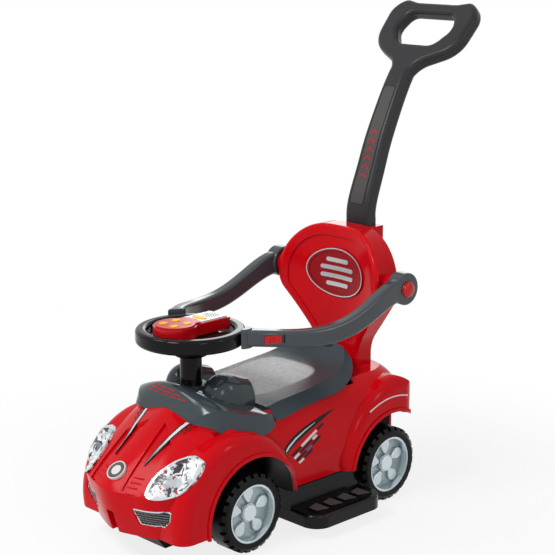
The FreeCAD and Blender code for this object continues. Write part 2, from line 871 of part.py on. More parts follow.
def chassis():
    """The whole black moulding."""
    shrink = -(s.body_wall + s.fit_clearance)
    _, front, half, rear = lower_level(LOWER_SHARES[0], shrink)
    floor = Part.Face(plan_wire(s.floor_z, front, half, rear)).extrude(UP * s.floor_thickness)
    floor = floor.cut(rooms)
    above = bar(s.tail_x * 2, s.nose_x, -s.nose_x, s.nose_x, s.floor_z, s.deck_z)
    liners = side_pair(well_liner(s.front_axle_x, s.front_well_inner_y, front_room))
    liners += side_pair(well_liner(rear_axle_x, s.rear_well_inner_y, rear_room))
    inside = body_form(shrink)
    liners = [liner.common(above).common(inside) for liner in liners]
    post_x = s.back_face_x - s.back_depth / 2
    post_half = s.post_half_width
    post = bar(
        post_x - s.post_length / 2,
        post_x + s.post_length / 2,
        -post_half,
        post_half,
        s.floor_z,
        s.back_bottom_z,
    )
    block_x = s.axle_block_length / 2
    block = bar(
        rear_axle_x - block_x,
        rear_axle_x + block_x,
        s.axle_block_inner_y,
        axle_block_outer_y,
        s.floor_z - s.axle_block_drop,
        s.floor_z + s.floor_thickness,
    )
    boss = upright(s.kingpin_boss_radius, s.front_axle_x, s.kingpin_y, s.floor_z, s.kingpin_boss_top_z)
    steering_boss = upright(
        s.steering_boss_radius, s.steering_x, 0, s.floor_z, s.floor_z + s.steering_boss_height
    )
    solids = liners + side_pair(block) + side_pair(boss)
    tub = floor.fuse(solids + [storage_box(), post, steering_boss, chin()])
    gap = s.body_wall + s.fit_clearance
    tub = tub.cut(tow_block(gap, gap))
    kingpin_hole = upright(
        s.axle_radius + s.running_clearance, s.front_axle_x, s.kingpin_y, 0, s.deck_z
    )
    rod_hole = upright(s.rod_radius + s.running_clearance, s.steering_x, 0, 0, s.deck_z)
    axle_hole = crosswise(s.axle_radius, rear_axle_x, axle_z, -s.nose_x, s.nose_x)
    return tub.cut(side_pair(kingpin_hole) + [rod_hole, axle_hole])


axle_block_outer_y = s.rear_well_inner_y - s.chassis_wall
feature("chassis", chassis())


# Head lamps, fog grilles and the blank nose badge, let into the shell.
def head_lamp():
    """A lens that follows the body's form, slightly proud of it."""
    lens = body_form(s.lamp_proud).common(lamp_prism(0))
    return lens.cut(body_form(-s.lamp_depth))


def fog_grille():
    """A frame with cross bars, set back in the bumper."""
    block = body_form(-s.fog_recess / 2).common(fog_prism(0)).cut(body_form(-s.fog_depth))
    pocket_room = fog_prism(s.fog_frame_width).cut(body_form(-s.fog_recess * 2))
    bars = []
    pitch = (s.fog_outer_y - s.fog_inner_y) / s.fog_bar_count
    for i in range(int(s.fog_bar_count)):
        left = s.fog_inner_y + (i + 0.5) * pitch
        right = left - s.fog_bar_thickness
        bars.append(bar(s.front_axle_x, s.nose_x, right, left, s.fog_low_z, s.fog_high_z))
    return block.cut(pocket_room.cut(bars))


both("head_lamp", head_lamp())
both("fog_grille", fog_grille())
feature("nose_badge", badge_disc(s.badge_radius, -s.badge_depth, s.badge_proud))


# Footboards: hollow steps with a rounded outer edge and raised treads, screwed under the floor.
def footboard():
    """The left footboard."""
    rear = s.footboard_front_x - s.footboard_length
    front = s.footboard_front_x
    inner, outer = s.footboard_inner_y, s.footboard_outer_y
    low, top = s.footboard_low_z, s.footboard_top_z
    wall = s.footboard_wall
    step = bar(rear, front, inner, outer, low, top)
    uprights = [e for e in step.Edges if abs(e.tangentAt(0).z) > 0.5]
    corners = [e for e in uprights if e.CenterOfMass.y > inner + wall]
    step = step.makeFillet(s.footboard_corner, corners)
    rim = [
        e for e in step.Edges if e.BoundBox.ZMin > top - wall and e.BoundBox.YMax > inner + wall
    ]
    step = step.makeFillet(s.footboard_round, rim)
    hollow = bar(
        rear + s.footboard_corner / 2,
        front - s.footboard_corner / 2,
        inner + wall,
        outer - s.footboard_corner / 2,
        low,
        top - wall,
    )
    edge = s.footboard_block_outer_y
    slope = (s.floor_z - top) / 4
    outline = [
        Vector(rear, inner, top - wall),
        Vector(rear, edge, top - wall),
        Vector(rear, edge - slope, s.floor_z),
        Vector(rear, inner, s.floor_z),
    ]
    block = prism(outline, AHEAD * s.footboard_length)
    treads = []
    count = int(s.footboard_pad_count)
    pitch = s.footboard_length / (count + 1)
    for i in range(count):
        x = rear + (i + 1) * pitch
        half = s.footboard_pad_width / 2
        y = (edge + outer) / 2
        reach = s.footboard_pad_reach / 2
        lean = half / 2
        plan = [
            Vector(x - half, y - reach, top),
            Vector(x + half, y - reach + lean, top),
            Vector(x + half, y + reach - lean, top),
            Vector(x - half, y + reach, top),
        ]
        treads.append(prism(plan, UP * s.footboard_pad_height))
    return step.cut(hollow).fuse([block] + treads)


both("footboard", footboard())


# Cowl and seat lid: crowned caps lofted along the car from cross sections.
# distance from the rear edge, half-width, lip, shoulder and crown height
COWL_SHARES = (
    (0, 1, 0.06, 0.3, 0.44),
    (0.4, 0.985, -0.1, 0.44, 0.72),
    (0.6, 0.93, -0.05, 0.56, 0.88),
    (0.79, 0.85, 0.1, 0.65, 0.98),
    (0.9, 0.77, 0.25, 0.6, 0.96),
    (0.965, 0.69, 0.3, 0.54, 0.78),
    (1, 0.54, 0.3, 0.46, 0.54),
)
# distance from the front edge, half-width, lip, shoulder and crown height
SEAT_SHARES = (
    (0, 1, 0.02, 0.3, 0.325),
    (0.09, 0.99, 0.03, 0.33, 0.35),
    (0.3, 0.98, 0.13, 0.38, 0.4),
    (0.53, 0.97, 0.19, 0.44, 0.455),
    (0.73, 0.92, 0.24, 0.52, 0.53),
    (0.855, 0.85, 0.36, 0.62, 0.64),
    (0.935, 0.76, 0.5, 0.76, 0.785),
    (1, 0.62, 0.7, 0.93, 1),
)


def cap_wire(x, half, lip, shoulder, crown, lean):
    """A cross section: two leaning sides, a crowned top and a flat foot."""
    left = Vector(x, half, lip)
    left_top = Vector(x, half - lean, shoulder)
    right_top = Vector(x, lean - half, shoulder)
    right = Vector(x, -half, lip)
    edges = [
        Part.makeLine(left, left_top),
        Part.Arc(left_top, Vector(x, 0, crown), right_top).toShape(),
        Part.makeLine(right_top, right),
        Part.makeLine(right, left),
    ]
    return Part.Wire(edges)


def cap_form(shares, start, length, half, base, height, lean, wall):
    """A lofted cap, or with a wall the room inside it, open below."""
    wires = []
    sign = math.copysign(1, length)
    for along, half_share, lip_share, shoulder_share, crown_share in shares:
        x = start + sign * wall + along * (length - 2 * sign * wall)
        lip = base + lip_share * height - (s.overrun if wall else 0)
        shoulder = base + shoulder_share * height - wall
        crown = base + crown_share * height - wall
        wires.append(cap_wire(x, half * half_share - wall, lip, shoulder, crown, lean))
    return Part.makeLoft(wires, True, False)


cowl_rear_x = s.cowl_front_x - s.cowl_length


def cowl_cap(wall):
    """The cowl's outer form, or the room inside it."""
    return cap_form(
        COWL_SHARES,
        cowl_rear_x,
        s.cowl_length,
        s.cowl_half_width,
        s.cowl_base_z,
        s.cowl_height,
        s.cowl_side_lean,
        wall,
    )


# distance from the rear face, half-width and height
HUMP_SHARES = ((0, 0.96, 0.8), (0.3, 1, 0.94), (0.62, 0.97, 1), (0.87, 0.78, 0.86), (1, 0.4, 0.5))
# half-width and height of one arched section
HUMP_ARCH_SHARES = ((1, 0), (0.96, 0.5), (0.66, 0.87), (0, 1))


def hump(wall):
    """The left dash hump, or with a wall the room inside it."""
    wires = []
    for along, half_share, height_share in HUMP_SHARES:
        x = s.hump_rear_x + wall + along * (s.hump_length - 2 * wall)
        half = half_share * s.hump_half_width - wall
        height = height_share * (s.hump_top_z - s.hump_base_z) - wall
        arm = [Vector(x, a * half, s.hump_base_z + b * height) for a, b in HUMP_ARCH_SHARES]
        rest = [Vector(x, -p.y, p.z) for p in reversed(arm[:-1])]
        arch = spline(arm + rest, UP, UP * -1)
        foot = Part.makeLine(rest[-1], arm[0])
        wires.append(Part.Wire([arch, foot]))
    solid = Part.makeLoft(wires, True, False)
    solid.translate(LEFT * s.hump_y)
    return solid


seat_lug_inner_y = s.seat_barrel_half_length + s.fit_clearance


def hinge_lug(grow):
    """The left lug of the cowl that holds the seat's hinge pin, grown by a gap."""
    low = seat_lug_inner_y - grow
    high = seat_lug_inner_y + s.seat_lug_width + grow
    radius = s.seat_barrel_radius + grow
    eye = crosswise(radius, s.seat_hinge_x, s.seat_hinge_z, low, high)
    reach = cowl_rear_x + 2 * s.seat_barrel_radius
    half = s.seat_barrel_radius / 2
    neck = bar(s.seat_hinge_x, reach, low, high, s.seat_hinge_z - half, s.seat_hinge_z + half)
    return eye.fuse(neck)


def cowl():
    """The grey cap in front of the seat, with twin humps and the steering collar."""
    collar = upright(
        s.collar_radius, s.steering_x, 0, s.collar_top_z - s.collar_height, s.collar_top_z
    )
    outside = cowl_cap(0).fuse(side_pair(hump(0)) + [collar])
    inside = cowl_cap(s.cowl_wall).fuse(side_pair(hump(s.cowl_wall)))
    keep_collar = upright(s.collar_radius, s.steering_x, 0, 0, s.collar_top_z)
    inside = inside.cut(keep_collar)
    bore = upright(s.column_radius + s.fit_clearance, s.steering_x, 0, 0, s.collar_top_z + s.overrun)
    cap = outside.cut(inside).cut([guard_deck, bore])
    cap = cap.fuse(side_pair(hinge_lug(0)))
    pin_hole = crosswise(s.seat_pin_radius, s.seat_hinge_x, s.seat_hinge_z, -s.nose_x, s.nose_x)
    return cap.cut(pin_hole)


def seat_cap(wall):
    """The seat's outer form, or the room inside it."""
    return cap_form(
        SEAT_SHARES,
        s.seat_front_x,
        -s.seat_length,
        s.seat_half_width,
        s.seat_lip_z,
        s.seat_rise,
        s.seat_side_lean,
        wall,
    )


def seat_lid():
    """The hinged seat, hollow below."""
    lid = seat_cap(0).cut(seat_cap(s.seat_wall))
    half = s.seat_barrel_half_length
    barrel = crosswise(s.seat_barrel_radius, s.seat_hinge_x, s.seat_hinge_z, -half, half)
    lid = lid.fuse(barrel)
    reach = half + s.overrun
    bore = crosswise(
        s.seat_pin_radius + s.running_clearance, s.seat_hinge_x, s.seat_hinge_z, -reach, reach
    )
    lug = hinge_lug(s.seat_gap / 2)
    box = lug.BoundBox
    top = s.seat_lip_z + s.seat_rise
    slot = bar(s.seat_hinge_x, box.XMax, box.YMin, box.YMax, s.seat_hinge_z, top)
    edge_y = s.top_opening_half_width - s.seat_gap
    corner = bar(s.seat_hinge_x, box.XMax, edge_y, s.seat_half_width + s.overrun, 0, top)
    notches = side_pair(lug.fuse(slot)) + side_pair(corner)
    lid = lid.cut(notches + [bore, guard_deck, backrest_blank(s.fit_clearance)])
    return max(lid.Solids, key=lambda solid: solid.Volume)


feature("cowl", cowl())
feature("seat_lid", seat_lid())


# Backrest front shell, rear cover with the handle's socket, and the blank oval badge.
def pole_room(grow, low, high):
    """The straight foot of the push handle, grown by a gap."""
    half_x = s.pole_thickness / 2 + grow
    half_y = s.pole_width / 2 + grow
    block = bar(s.pole_x - half_x, s.pole_x + half_x, -half_y, half_y, low, high)
    uprights = [e for e in block.Edges if abs(e.tangentAt(0).z) > 0.5]
    return block.makeFillet(s.pole_round, uprights)


socket_rear_x = s.pole_x - s.pole_thickness / 2 - s.slide_clearance - s.socket_wall
pivot_room_y = s.pivot_outer_y - s.pivot_button_room
pivot_pin_tip_y = pivot_room_y - s.slide_clearance
PIVOT_BOSS_SHARE = 0.72
pivot_boss_radius = s.pivot_disc_radius * PIVOT_BOSS_SHARE


def pivot_pin_blank():
    """The left pivot pin's outline."""
    return crosswise(s.pivot_pin_radius, s.pivot_x, s.pivot_z, s.pivot_pin_root_y, pivot_pin_tip_y)


def backrest():
    """The front shell and the rear cover."""
    blank = backrest_blank(0)
    broad = sorted(blank.Faces, key=lambda f: f.Area)[-2:]
    face = max(broad, key=lambda f: f.CenterOfMass.x)
    blank = blank.makeFillet(s.back_round, face.Edges)
    split = s.back_depth - s.cover_depth
    front_column = back_column(s.back_face_x, split, s.back_wing_depth - s.cover_depth)
    front = blank.common(front_column)
    panel = shield(-s.back_panel_inset)
    panel = panel.cut(bar(-s.nose_x, s.nose_x, -s.nose_x, s.nose_x, 0, s.cover_bottom_z))
    sink = s.back_panel_sink
    skin_band = back_column(s.back_face_x + s.overrun, s.overrun + sink, s.overrun + sink)
    hollow = backrest_blank(-s.back_wall - sink).common(front_column)
    boss_inner_y = s.pivot_pin_root_y
    boss = crosswise(
        pivot_boss_radius, s.pivot_x, s.pivot_z, boss_inner_y, s.pivot_inner_y - s.fit_clearance
    )
    hollow = hollow.cut(side_pair(boss))
    front = front.cut([hollow, panel.common(skin_band)]).fuse(side_pair(boss))
    pins = side_pair(pivot_pin_blank())
    half = s.socket_half_width
    socket = bar(
        socket_rear_x, s.back_face_x, -half, half, s.socket_bottom_z, s.socket_top_z
    )
    lock_x = socket_rear_x - s.lock_boss_depth
    lock_boss = Part.makeCylinder(
        s.lock_button_radius + s.socket_wall,
        s.lock_boss_depth + s.socket_wall,
        Vector(lock_x, 0, s.lock_button_z),
        AHEAD,
    )
    lock_hole = Part.makeCylinder(
        s.lock_button_radius + s.slide_clearance,
        s.lock_boss_depth,
        Vector(lock_x, 0, s.lock_button_z),
        AHEAD,
    )
    room = pole_room(
        s.slide_clearance, s.pole_bottom_z - s.slide_clearance, s.back_top_z + s.overrun
    )
    rear = blank.cut(front_column).fuse([socket.cut(front_column), lock_boss])
    rear = rear.cut(side_pair(boss) + [room, lock_hole])
    return front.cut(pins), rear.cut(pins)


def oval_prism(border):
    """An ellipse through the backrest, shrunk by a border."""
    half_y = s.oval_half_width - border
    half_z = s.oval_half_height - border
    centre = Vector(s.back_face_x - s.back_depth, 0, s.oval_z)
    ellipse = Part.Ellipse(centre + LEFT * half_y, centre + UP * half_z, centre)
    face = Part.Face(Part.Wire(ellipse.toShape()))
    return face.extrude(AHEAD * (s.back_depth + 2 * s.back_wing_forward))


def oval_band(proud):
    """A sheet just clear of the backrest's sunk panel."""
    face_x = s.back_face_x - s.back_panel_sink + s.slide_clearance
    return back_column(face_x + proud, proud, proud)


front_shell, rear_cover = backrest()
feature("backrest_front", front_shell)
feature("backrest_rear_cover", rear_cover)
feature("backrest_badge", oval_band(s.oval_proud / 2).common(oval_prism(s.oval_border)))
feature(
    "backrest_badge_rim",
    oval_band(s.oval_proud).common(oval_prism(0).cut(oval_prism(s.oval_border))),
)


# Guard arms: bars that bow outwards from the backrest's sides and end beside the steering wheel's rim.
# distance ahead of the pivot, outward place, drop below the pivot, section height
ARM_SHARES = (
    (0, 1, 0, 1.5),
    (0.17, 1.05, 0.2, 1.5),
    (0.36, 1.05, 0.7, 1.35),
    (0.54, 0.97, 0.97, 1.22),
    (0.73, 0.77, 0.97, 1.1),
    (0.9, 0.42, 0.86, 1.05),
    (1, 0.04, 0.82, 1.05),
)
LATCH_ROW = 5
CLASP_ANGLE = 27
CLASP_RADIUS_SHARE = 0.7


def arm_point(row):
    """A place on the left arm's middle line."""
    along, out, down, _ = row
    pivot_y = (s.pivot_inner_y + s.pivot_outer_y) / 2
    return Vector(
        s.pivot_x + along * s.arm_reach_x,
        s.arm_front_y + out * (pivot_y - s.arm_front_y),
        s.pivot_z - down * s.arm_drop,
    )


def arm_heading(i):
    """The arm's direction at a row, in plan."""
    before = arm_point(ARM_SHARES[max(i - 1, 0)])
    after = arm_point(ARM_SHARES[min(i + 1, len(ARM_SHARES) - 1)])
    heading = after - before
    return Vector(heading.x, heading.y, 0).normalize()


def rounded_rectangle(centre, across, up, width, height, radius):
    """A closed wire of four lines and four arcs in the plane of two directions."""
    half_w, half_h = width / 2, height / 2
    lean = radius * (1 - math.sqrt(0.5))
    signs = ((1, 1), (-1, 1), (-1, -1), (1, -1))
    edges = []
    last = None
    first = None
    for sign_w, sign_h in signs:
        corner = [
            (half_w, half_h - radius),
            (half_w - lean, half_h - lean),
            (half_w - radius, half_h),
        ]
        if sign_w * sign_h < 0:
            corner.reverse()
        points = [centre + across * (sign_w * w) + up * (sign_h * h) for w, h in corner]
        if last is not None:
            edges.append(Part.makeLine(last, points[0]))
        else:
            first = points[0]
        edges.append(Part.Arc(*points).toShape())
        last = points[-1]
    edges.append(Part.makeLine(last, first))
    return Part.Wire(edges)


def clasp_centre():
    """The place on the rim's outer edge that the left arm ends beside."""
    turn = math.radians(CLASP_ANGLE)
    return Vector(s.steering_x - s.ring_radius * math.sin(turn), s.ring_radius * math.cos(turn), 0)


def latch_frame():
    """Middle, direction and outward normal of the left latch slider."""
    heading = arm_heading(LATCH_ROW)
    return arm_point(ARM_SHARES[LATCH_ROW]), heading, UP.cross(heading)


def latch_block(back, ahead, inner, outer, height):
    """A block beside the arm, measured along and across it at the latch."""
    middle, heading, out = latch_frame()
    face = s.arm_width / 2
    corners = [
        middle + heading * along + out * (face + side) - UP * (height / 2)
        for along, side in ((back, inner), (ahead, inner), (ahead, outer), (back, outer))
    ]
    return prism(corners, UP * height)


def guard_arm():
    """The left guard arm."""
    wires = []
    for i, row in enumerate(ARM_SHARES):
        heading = arm_heading(i)
        side = UP.cross(heading)
        height = row[3] * s.arm_height
        wires.append(rounded_rectangle(arm_point(row), side, UP, s.arm_width, height, s.arm_round))
    bow = Part.makeLoft(wires, True, False)
    disc = crosswise(s.pivot_disc_radius, s.pivot_x, s.pivot_z, s.pivot_inner_y, s.pivot_outer_y)
    disc = disc.makeFillet(s.arm_round / 2, [e for e in disc.Edges if e.Closed])
    at = clasp_centre()
    top = s.ring_top_z + s.arm_round
    clasp = upright(s.arm_width * CLASP_RADIUS_SHARE, at.x, at.y, s.ring_low_z, top)
    clasp = clasp.makeFillet(s.arm_round / 2, [max(clasp.Edges, key=lambda e: e.CenterOfMass.z)])
    arm = bow.fuse([disc, clasp])
    axis = AHEAD * s.steering_x
    out = (at - axis).normalize()
    across = UP.cross(out) * s.ring_radius
    low = axis + UP * (s.ring_low_z - s.arm_height)
    cheek = low + out * (s.ring_radius + s.rim_gap)
    ring_plan = [low - across, cheek - across, cheek + across, low + across]
    ring_room = prism(ring_plan, UP * (top - low.z + s.overrun))
    pin_hole = crosswise(
        s.pivot_pin_radius + s.running_clearance,
        s.pivot_x,
        s.pivot_z,
        s.pivot_inner_y - s.overrun,
        s.pivot_outer_y,
    )
    button_room = crosswise(
        s.pivot_button_radius + s.slide_clearance,
        s.pivot_x,
        s.pivot_z,
        pivot_room_y,
        s.pivot_outer_y + s.overrun,
    )
    gap = s.slide_clearance
    latch_room = latch_block(
        -s.latch_length / 2 - s.latch_travel - gap,
        s.latch_length / 2 + gap,
        -s.latch_depth - gap,
        s.arm_width,
        s.latch_height + 2 * gap,
    )
    inner_side = bar(
        s.pivot_x - s.pivot_disc_radius,
        s.pivot_x + s.arm_reach_x / 2,
        0,
        s.pivot_inner_y,
        0,
        s.back_top_z,
    )
    return arm.cut([ring_room, pin_hole, button_room, latch_room, inner_side])


def latch():
    """The left latch slider."""
    half = s.latch_length / 2
    return latch_block(-half, half, -s.latch_depth, s.latch_proud, s.latch_height)


both("guard_arm", guard_arm())
both("guard_latch", latch())


# Steering wheel with its column, rod and music panel.
def steering_wheel():
    """Rim, spokes and bowl-shaped hub in one moulding."""
    rim = upright(s.ring_radius, 0, 0, s.ring_low_z, s.ring_top_z)
    rim = rim.cut(upright(s.ring_radius - s.ring_width, 0, 0, s.ring_low_z, s.ring_top_z))
    rim = rim.makeFillet(s.ring_round, [e for e in rim.Edges if e.Closed])
    hub = Part.makeCone(
        s.hub_low_radius, s.hub_radius, s.hub_top_z - s.hub_low_z, UP * s.hub_low_z
    )
    low_edge = min(hub.Edges, key=lambda e: e.CenterOfMass.z)
    hub = hub.makeFillet(s.ring_round, [low_edge])
    count = int(s.spoke_count)
    spokes = []
    z = s.hub_top_z - s.spoke_thickness
    for i in range(count):
        half = s.spoke_width / 2
        spoke = bar(
            s.hub_low_radius, s.ring_radius - s.ring_width / 2, -half, half, z, z + s.spoke_thickness
        )
        spoke.rotate(ORIGIN, UP, 360 * (i + 0.5) / count)
        spokes.append(spoke)
    wheel = rim.fuse(spokes + [hub])
    return wheel.cut(upright(s.rod_radius, 0, 0, 0, s.rod_top_z))


wheel_piece = feature("steering_wheel", steering_wheel())
wheel_piece.setExpression("Placement.Base.x", "sizes.steering_x")

tube = doc.addObject("Part::Cylinder", "column_outside")
tube.setExpression("Radius", "sizes.column_radius")
tube.setExpression("Height", "sizes.hub_low_z - sizes.column_low_z")
core = doc.addObject("Part::Cylinder", "column_inside")
core.setExpression("Radius", "sizes.rod_radius")
core.setExpression("Height", "sizes.hub_low_z - sizes.column_low_z")
column = doc.addObject("Part::Cut", "steering_column")
column.Base = tube
column.Tool = core
column.setExpression("Placement.Base.x", "sizes.steering_x")
column.setExpression("Placement.Base.z", "sizes.column_low_z")
keep("steering_column", column)

rod = doc.addObject("Part::Cylinder", "steering_rod")
rod.setExpression("Radius", "sizes.rod_radius")
rod.setExpression("Height", "sizes.rod_top_z - sizes.rod_low_z")
rod.setExpression("Placement.Base.x", "sizes.steering_x")
rod.setExpression("Placement.Base.z", "sizes.rod_low_z")
keep("steering_rod", rod)


def panel_outline(inset):
    """The music panel's plan: a round front that runs into a straight tail."""
    radius = s.panel_round_radius - inset
    half = s.panel_tail_half_width - inset
    centre_x = s.panel_round_shift
    join_x = centre_x - math.sqrt(radius**2 - half**2)
    tail_x = inset - s.panel_tail_reach
    arc = Part.Arc(
        Vector(join_x, -half, 0), Vector(centre_x + radius, 0, 0), Vector(join_x, half, 0)
    )
    lines = [
        Part.makeLine(Vector(join_x, half, 0), Vector(tail_x, half, 0)),
        Part.makeLine(Vector(tail_x, half, 0), Vector(tail_x, -half, 0)),
        Part.makeLine(Vector(tail_x, -half, 0), Vector(join_x, -half, 0)),
    ]
    face = Part.Face(Part.Wire([arc.toShape()] + lines))
    face.translate(AHEAD * s.steering_x)
    return face


face_top_z = s.panel_top_z + s.face_thickness
key_foot_z = face_top_z - s.key_room
round_key_turns = (45, 135, 225, 315)


def key_places():
    """Centres of the four round keys."""
    x = s.steering_x + s.panel_round_shift
    places = []
    for turn in round_key_turns:
        angle = math.radians(turn)
        places.append(Vector(x + s.key_orbit * math.cos(angle), s.key_orbit * math.sin(angle), 0))
    return places


def round_key(at, grow, low, high):
    """A round key, or the room for it."""
    return upright(s.key_radius + grow, at.x, at.y, low, high)


def oval_key(grow, low, high):
    """The oval key on the panel's tail, or the room for it."""
    x = s.steering_x - s.oval_key_shift
    half_y = s.oval_key_half_length + grow
    half_x = s.oval_key_half_width + grow
    ellipse = Part.Ellipse(Vector(x, half_y, low), Vector(x - half_x, 0, low), Vector(x, 0, low))
    face = Part.Face(Part.Wire(ellipse.toShape()))
    return face.extrude(UP * (high - low))


def key_rooms():
    """The pockets that the keys sink into."""
    low = key_foot_z - s.key_travel - s.slide_clearance
    high = face_top_z + s.overrun
    rooms_for_keys = [round_key(at, s.slide_clearance, low, high) for at in key_places()]
    return rooms_for_keys + [oval_key(s.slide_clearance, low, high)]


def panel_base():
    """The red tray of the music panel, seated on the hub."""
    tray = panel_outline(0).extrude(UP * (s.panel_top_z - s.hub_top_z))
    tray.translate(UP * s.hub_top_z)
    tray = tray.makeFillet(
        s.panel_edge_round, [e for e in tray.Edges if e.BoundBox.ZMax < s.hub_top_z + s.overrun]
    )
    return tray.cut(key_rooms())


def face_plate():
    """The white face on the tray."""
    plate = panel_outline(s.face_inset).extrude(UP * s.face_thickness)
    plate.translate(UP * s.panel_top_z)
    return plate.cut(key_rooms())


def softened(shape, radius):
    """A key with its top edge rounded."""
    top = [e for e in shape.Edges if e.BoundBox.ZMin > shape.BoundBox.ZMax - radius / 2]
    return shape.makeFillet(radius, top)


feature("panel_base", panel_base())
feature("panel_face", face_plate())
key_top_z = key_foot_z + s.key_height
for i, at in enumerate(key_places(), start=1):
    feature(f"round_key_{i}", softened(round_key(at, 0, key_foot_z, key_top_z), s.key_round))
feature("oval_key", softened(oval_key(0, key_foot_z, key_top_z), s.key_round))


# Steering linkage under the floor: crank, tie rod, knuckles and bent kingpins.
tie_top_z = s.tie_low_z + s.tie_thickness
arm_top_z = s.tie_low_z - s.slide_clearance
crank_low_z = tie_top_z + s.slide_clearance


def lever(x, y, low, high, hub_radius):
    """A flat lever from a hub to a pin one crank radius behind it."""
    half = s.crank_width / 2
    hub = upright(hub_radius, x, y, low, high)
    eye = upright(half, x - s.crank_radius, y, low, high)
    return hub.fuse([eye, bar(x - s.crank_radius, x, y - half, y + half, low, high)])


def crank_lever():
    """The lever clamped to the steering rod, with a pin into the tie rod."""
    arm = lever(s.steering_x, 0, crank_low_z, crank_low_z + s.crank_thickness, s.steering_boss_radius)
    pin_x = s.steering_x - s.crank_radius
    pin = upright(s.link_pin_radius, pin_x, 0, s.tie_low_z, crank_low_z + s.crank_thickness)
    return arm.fuse(pin).cut(upright(s.rod_radius, s.steering_x, 0, s.rod_low_z, s.deck_z))


def pin_slot(x, y):
    """A slot along X that lets a pin swing on its arc."""
    half = s.link_pin_radius + s.link_pin_slot_side
    low, high = s.tie_low_z, tie_top_z
    ends = [upright(half, x, y, low, high), upright(half, x + s.link_pin_slot_run, y, low, high)]
    return ends[0].fuse([ends[1], bar(x, x + s.link_pin_slot_run, y - half, y + half, low, high)])


def tie_rod():
    """The plate that joins the crank to both knuckles."""
    low, high = s.tie_low_z, tie_top_z
    half = s.tie_width / 2
    bar_x = s.front_axle_x - s.crank_radius
    tongue_x = s.steering_x - s.crank_radius
    end = s.kingpin_y
    plate = bar(bar_x - half, bar_x + half, -end, end, low, high)
    run = s.link_pin_slot_run
    ends = [upright(half, bar_x, sign * end, low, high) for sign in SIDES.values()]
    tongue = bar(bar_x, tongue_x + run, -half, half, low, high)
    tip = upright(half, tongue_x + run, 0, low, high)
    slots = [pin_slot(bar_x, sign * end) for sign in SIDES.values()] + [pin_slot(tongue_x, 0)]
    return plate.fuse(ends + [tongue, tip]).cut(slots)


front_hub_y = rim_inner_y - s.slide_clearance
kingpin_top_z = s.kingpin_boss_top_z + s.washer_thickness + s.kingpin_top_reach


def kingpin():
    """The left kingpin and stub axle, bent from one rod."""
    bend = s.kingpin_bend_radius
    x, y = s.front_axle_x, s.kingpin_y
    turn = bend * math.sqrt(0.5)
    corner = Vector(x, y + bend, axle_z + bend)
    top = Vector(x, y, kingpin_top_z)
    down = Vector(x, y, axle_z + bend)
    out = Vector(x, y + bend, axle_z)
    tip = Vector(x, axle_tip_y, axle_z)
    middle = corner - LEFT * turn - UP * turn
    path = Part.Wire(
        [Part.makeLine(top, down), Part.Arc(down, middle, out).toShape(), Part.makeLine(out, tip)]
    )
    section = Part.Wire(Part.makeCircle(s.axle_radius, top, UP))
    return path.makePipeShell([section], True, True)


def knuckle(rod_shape):
    """The moulded block on the left kingpin, with its steering arm and pin."""
    x, y = s.front_axle_x, s.kingpin_y
    low = arm_top_z - s.knuckle_arm_thickness
    high = s.floor_z - s.slide_clearance
    block = upright(s.knuckle_radius, x, y, low, high)
    sleeve = crosswise(s.knuckle_sleeve_radius, x, axle_z, y, front_hub_y)
    arm = lever(x, y, low, arm_top_z, s.knuckle_radius)
    pin = upright(s.link_pin_radius, x - s.crank_radius, y, low, tie_top_z)
    return block.fuse([sleeve, arm, pin]).cut(rod_shape)


def kingpin_washer():
    """The washer on top of the left kingpin boss."""
    x, y = s.front_axle_x, s.kingpin_y
    low = s.kingpin_boss_top_z + s.slide_clearance
    high = low + s.washer_thickness
    return upright(s.washer_radius, x, y, low, high).cut(upright(s.axle_radius, x, y, low, high))


nut_floor_y = rim_outer_y - s.rim_web_depth + s.rim_boss_rise - s.nut_room_depth
axle_tip_y = nut_floor_y + s.axle_end_reach


def push_nut(x):
    """The push nut on a left axle end."""
    low = nut_floor_y + s.slide_clearance
    high = low + s.nut_thickness
    nut = crosswise(s.nut_radius, x, axle_z, low, high)
    return nut.cut(crosswise(s.axle_radius, x, axle_z, low, high))


left_kingpin = kingpin()
feature("crank_lever", crank_lever())
feature("tie_rod", tie_rod())
both("kingpin", left_kingpin)
both("knuckle", knuckle(left_kingpin))
both("front_retainers", Part.makeCompound([push_nut(s.front_axle_x), kingpin_washer()]))


# Rear axle, fixed in the chassis blocks, with spacers and push nuts.
axle = doc.addObject("Part::Cylinder", "rear_axle")
AXLE_TIP = (
    "sizes.tyre_outer_y - sizes.rim_inset - sizes.rim_web_depth + sizes.rim_boss_rise"
    " - sizes.nut_room_depth + sizes.axle_end_reach"
)
axle.setExpression("Radius", "sizes.axle_radius")
axle.setExpression("Height", f"2 * ({AXLE_TIP})")
axle.Placement.Rotation = Rotation(AHEAD, -90)
axle.setExpression("Placement.Base.x", "sizes.front_axle_x - sizes.wheelbase")
axle.setExpression("Placement.Base.y", f"-({AXLE_TIP})")
axle.setExpression("Placement.Base.z", "sizes.tyre_radius")
keep("rear_axle", axle)

spacer_ends = axle_block_outer_y, rim_inner_y - s.slide_clearance
spacer = crosswise(s.spacer_radius, rear_axle_x, axle_z, *spacer_ends)
spacer = spacer.cut(crosswise(s.axle_radius, rear_axle_x, axle_z, *spacer_ends))
feature("rear_spacers", Part.makeCompound(side_pair(spacer)))
feature("rear_push_nuts", Part.makeCompound(side_pair(push_nut(rear_axle_x))))


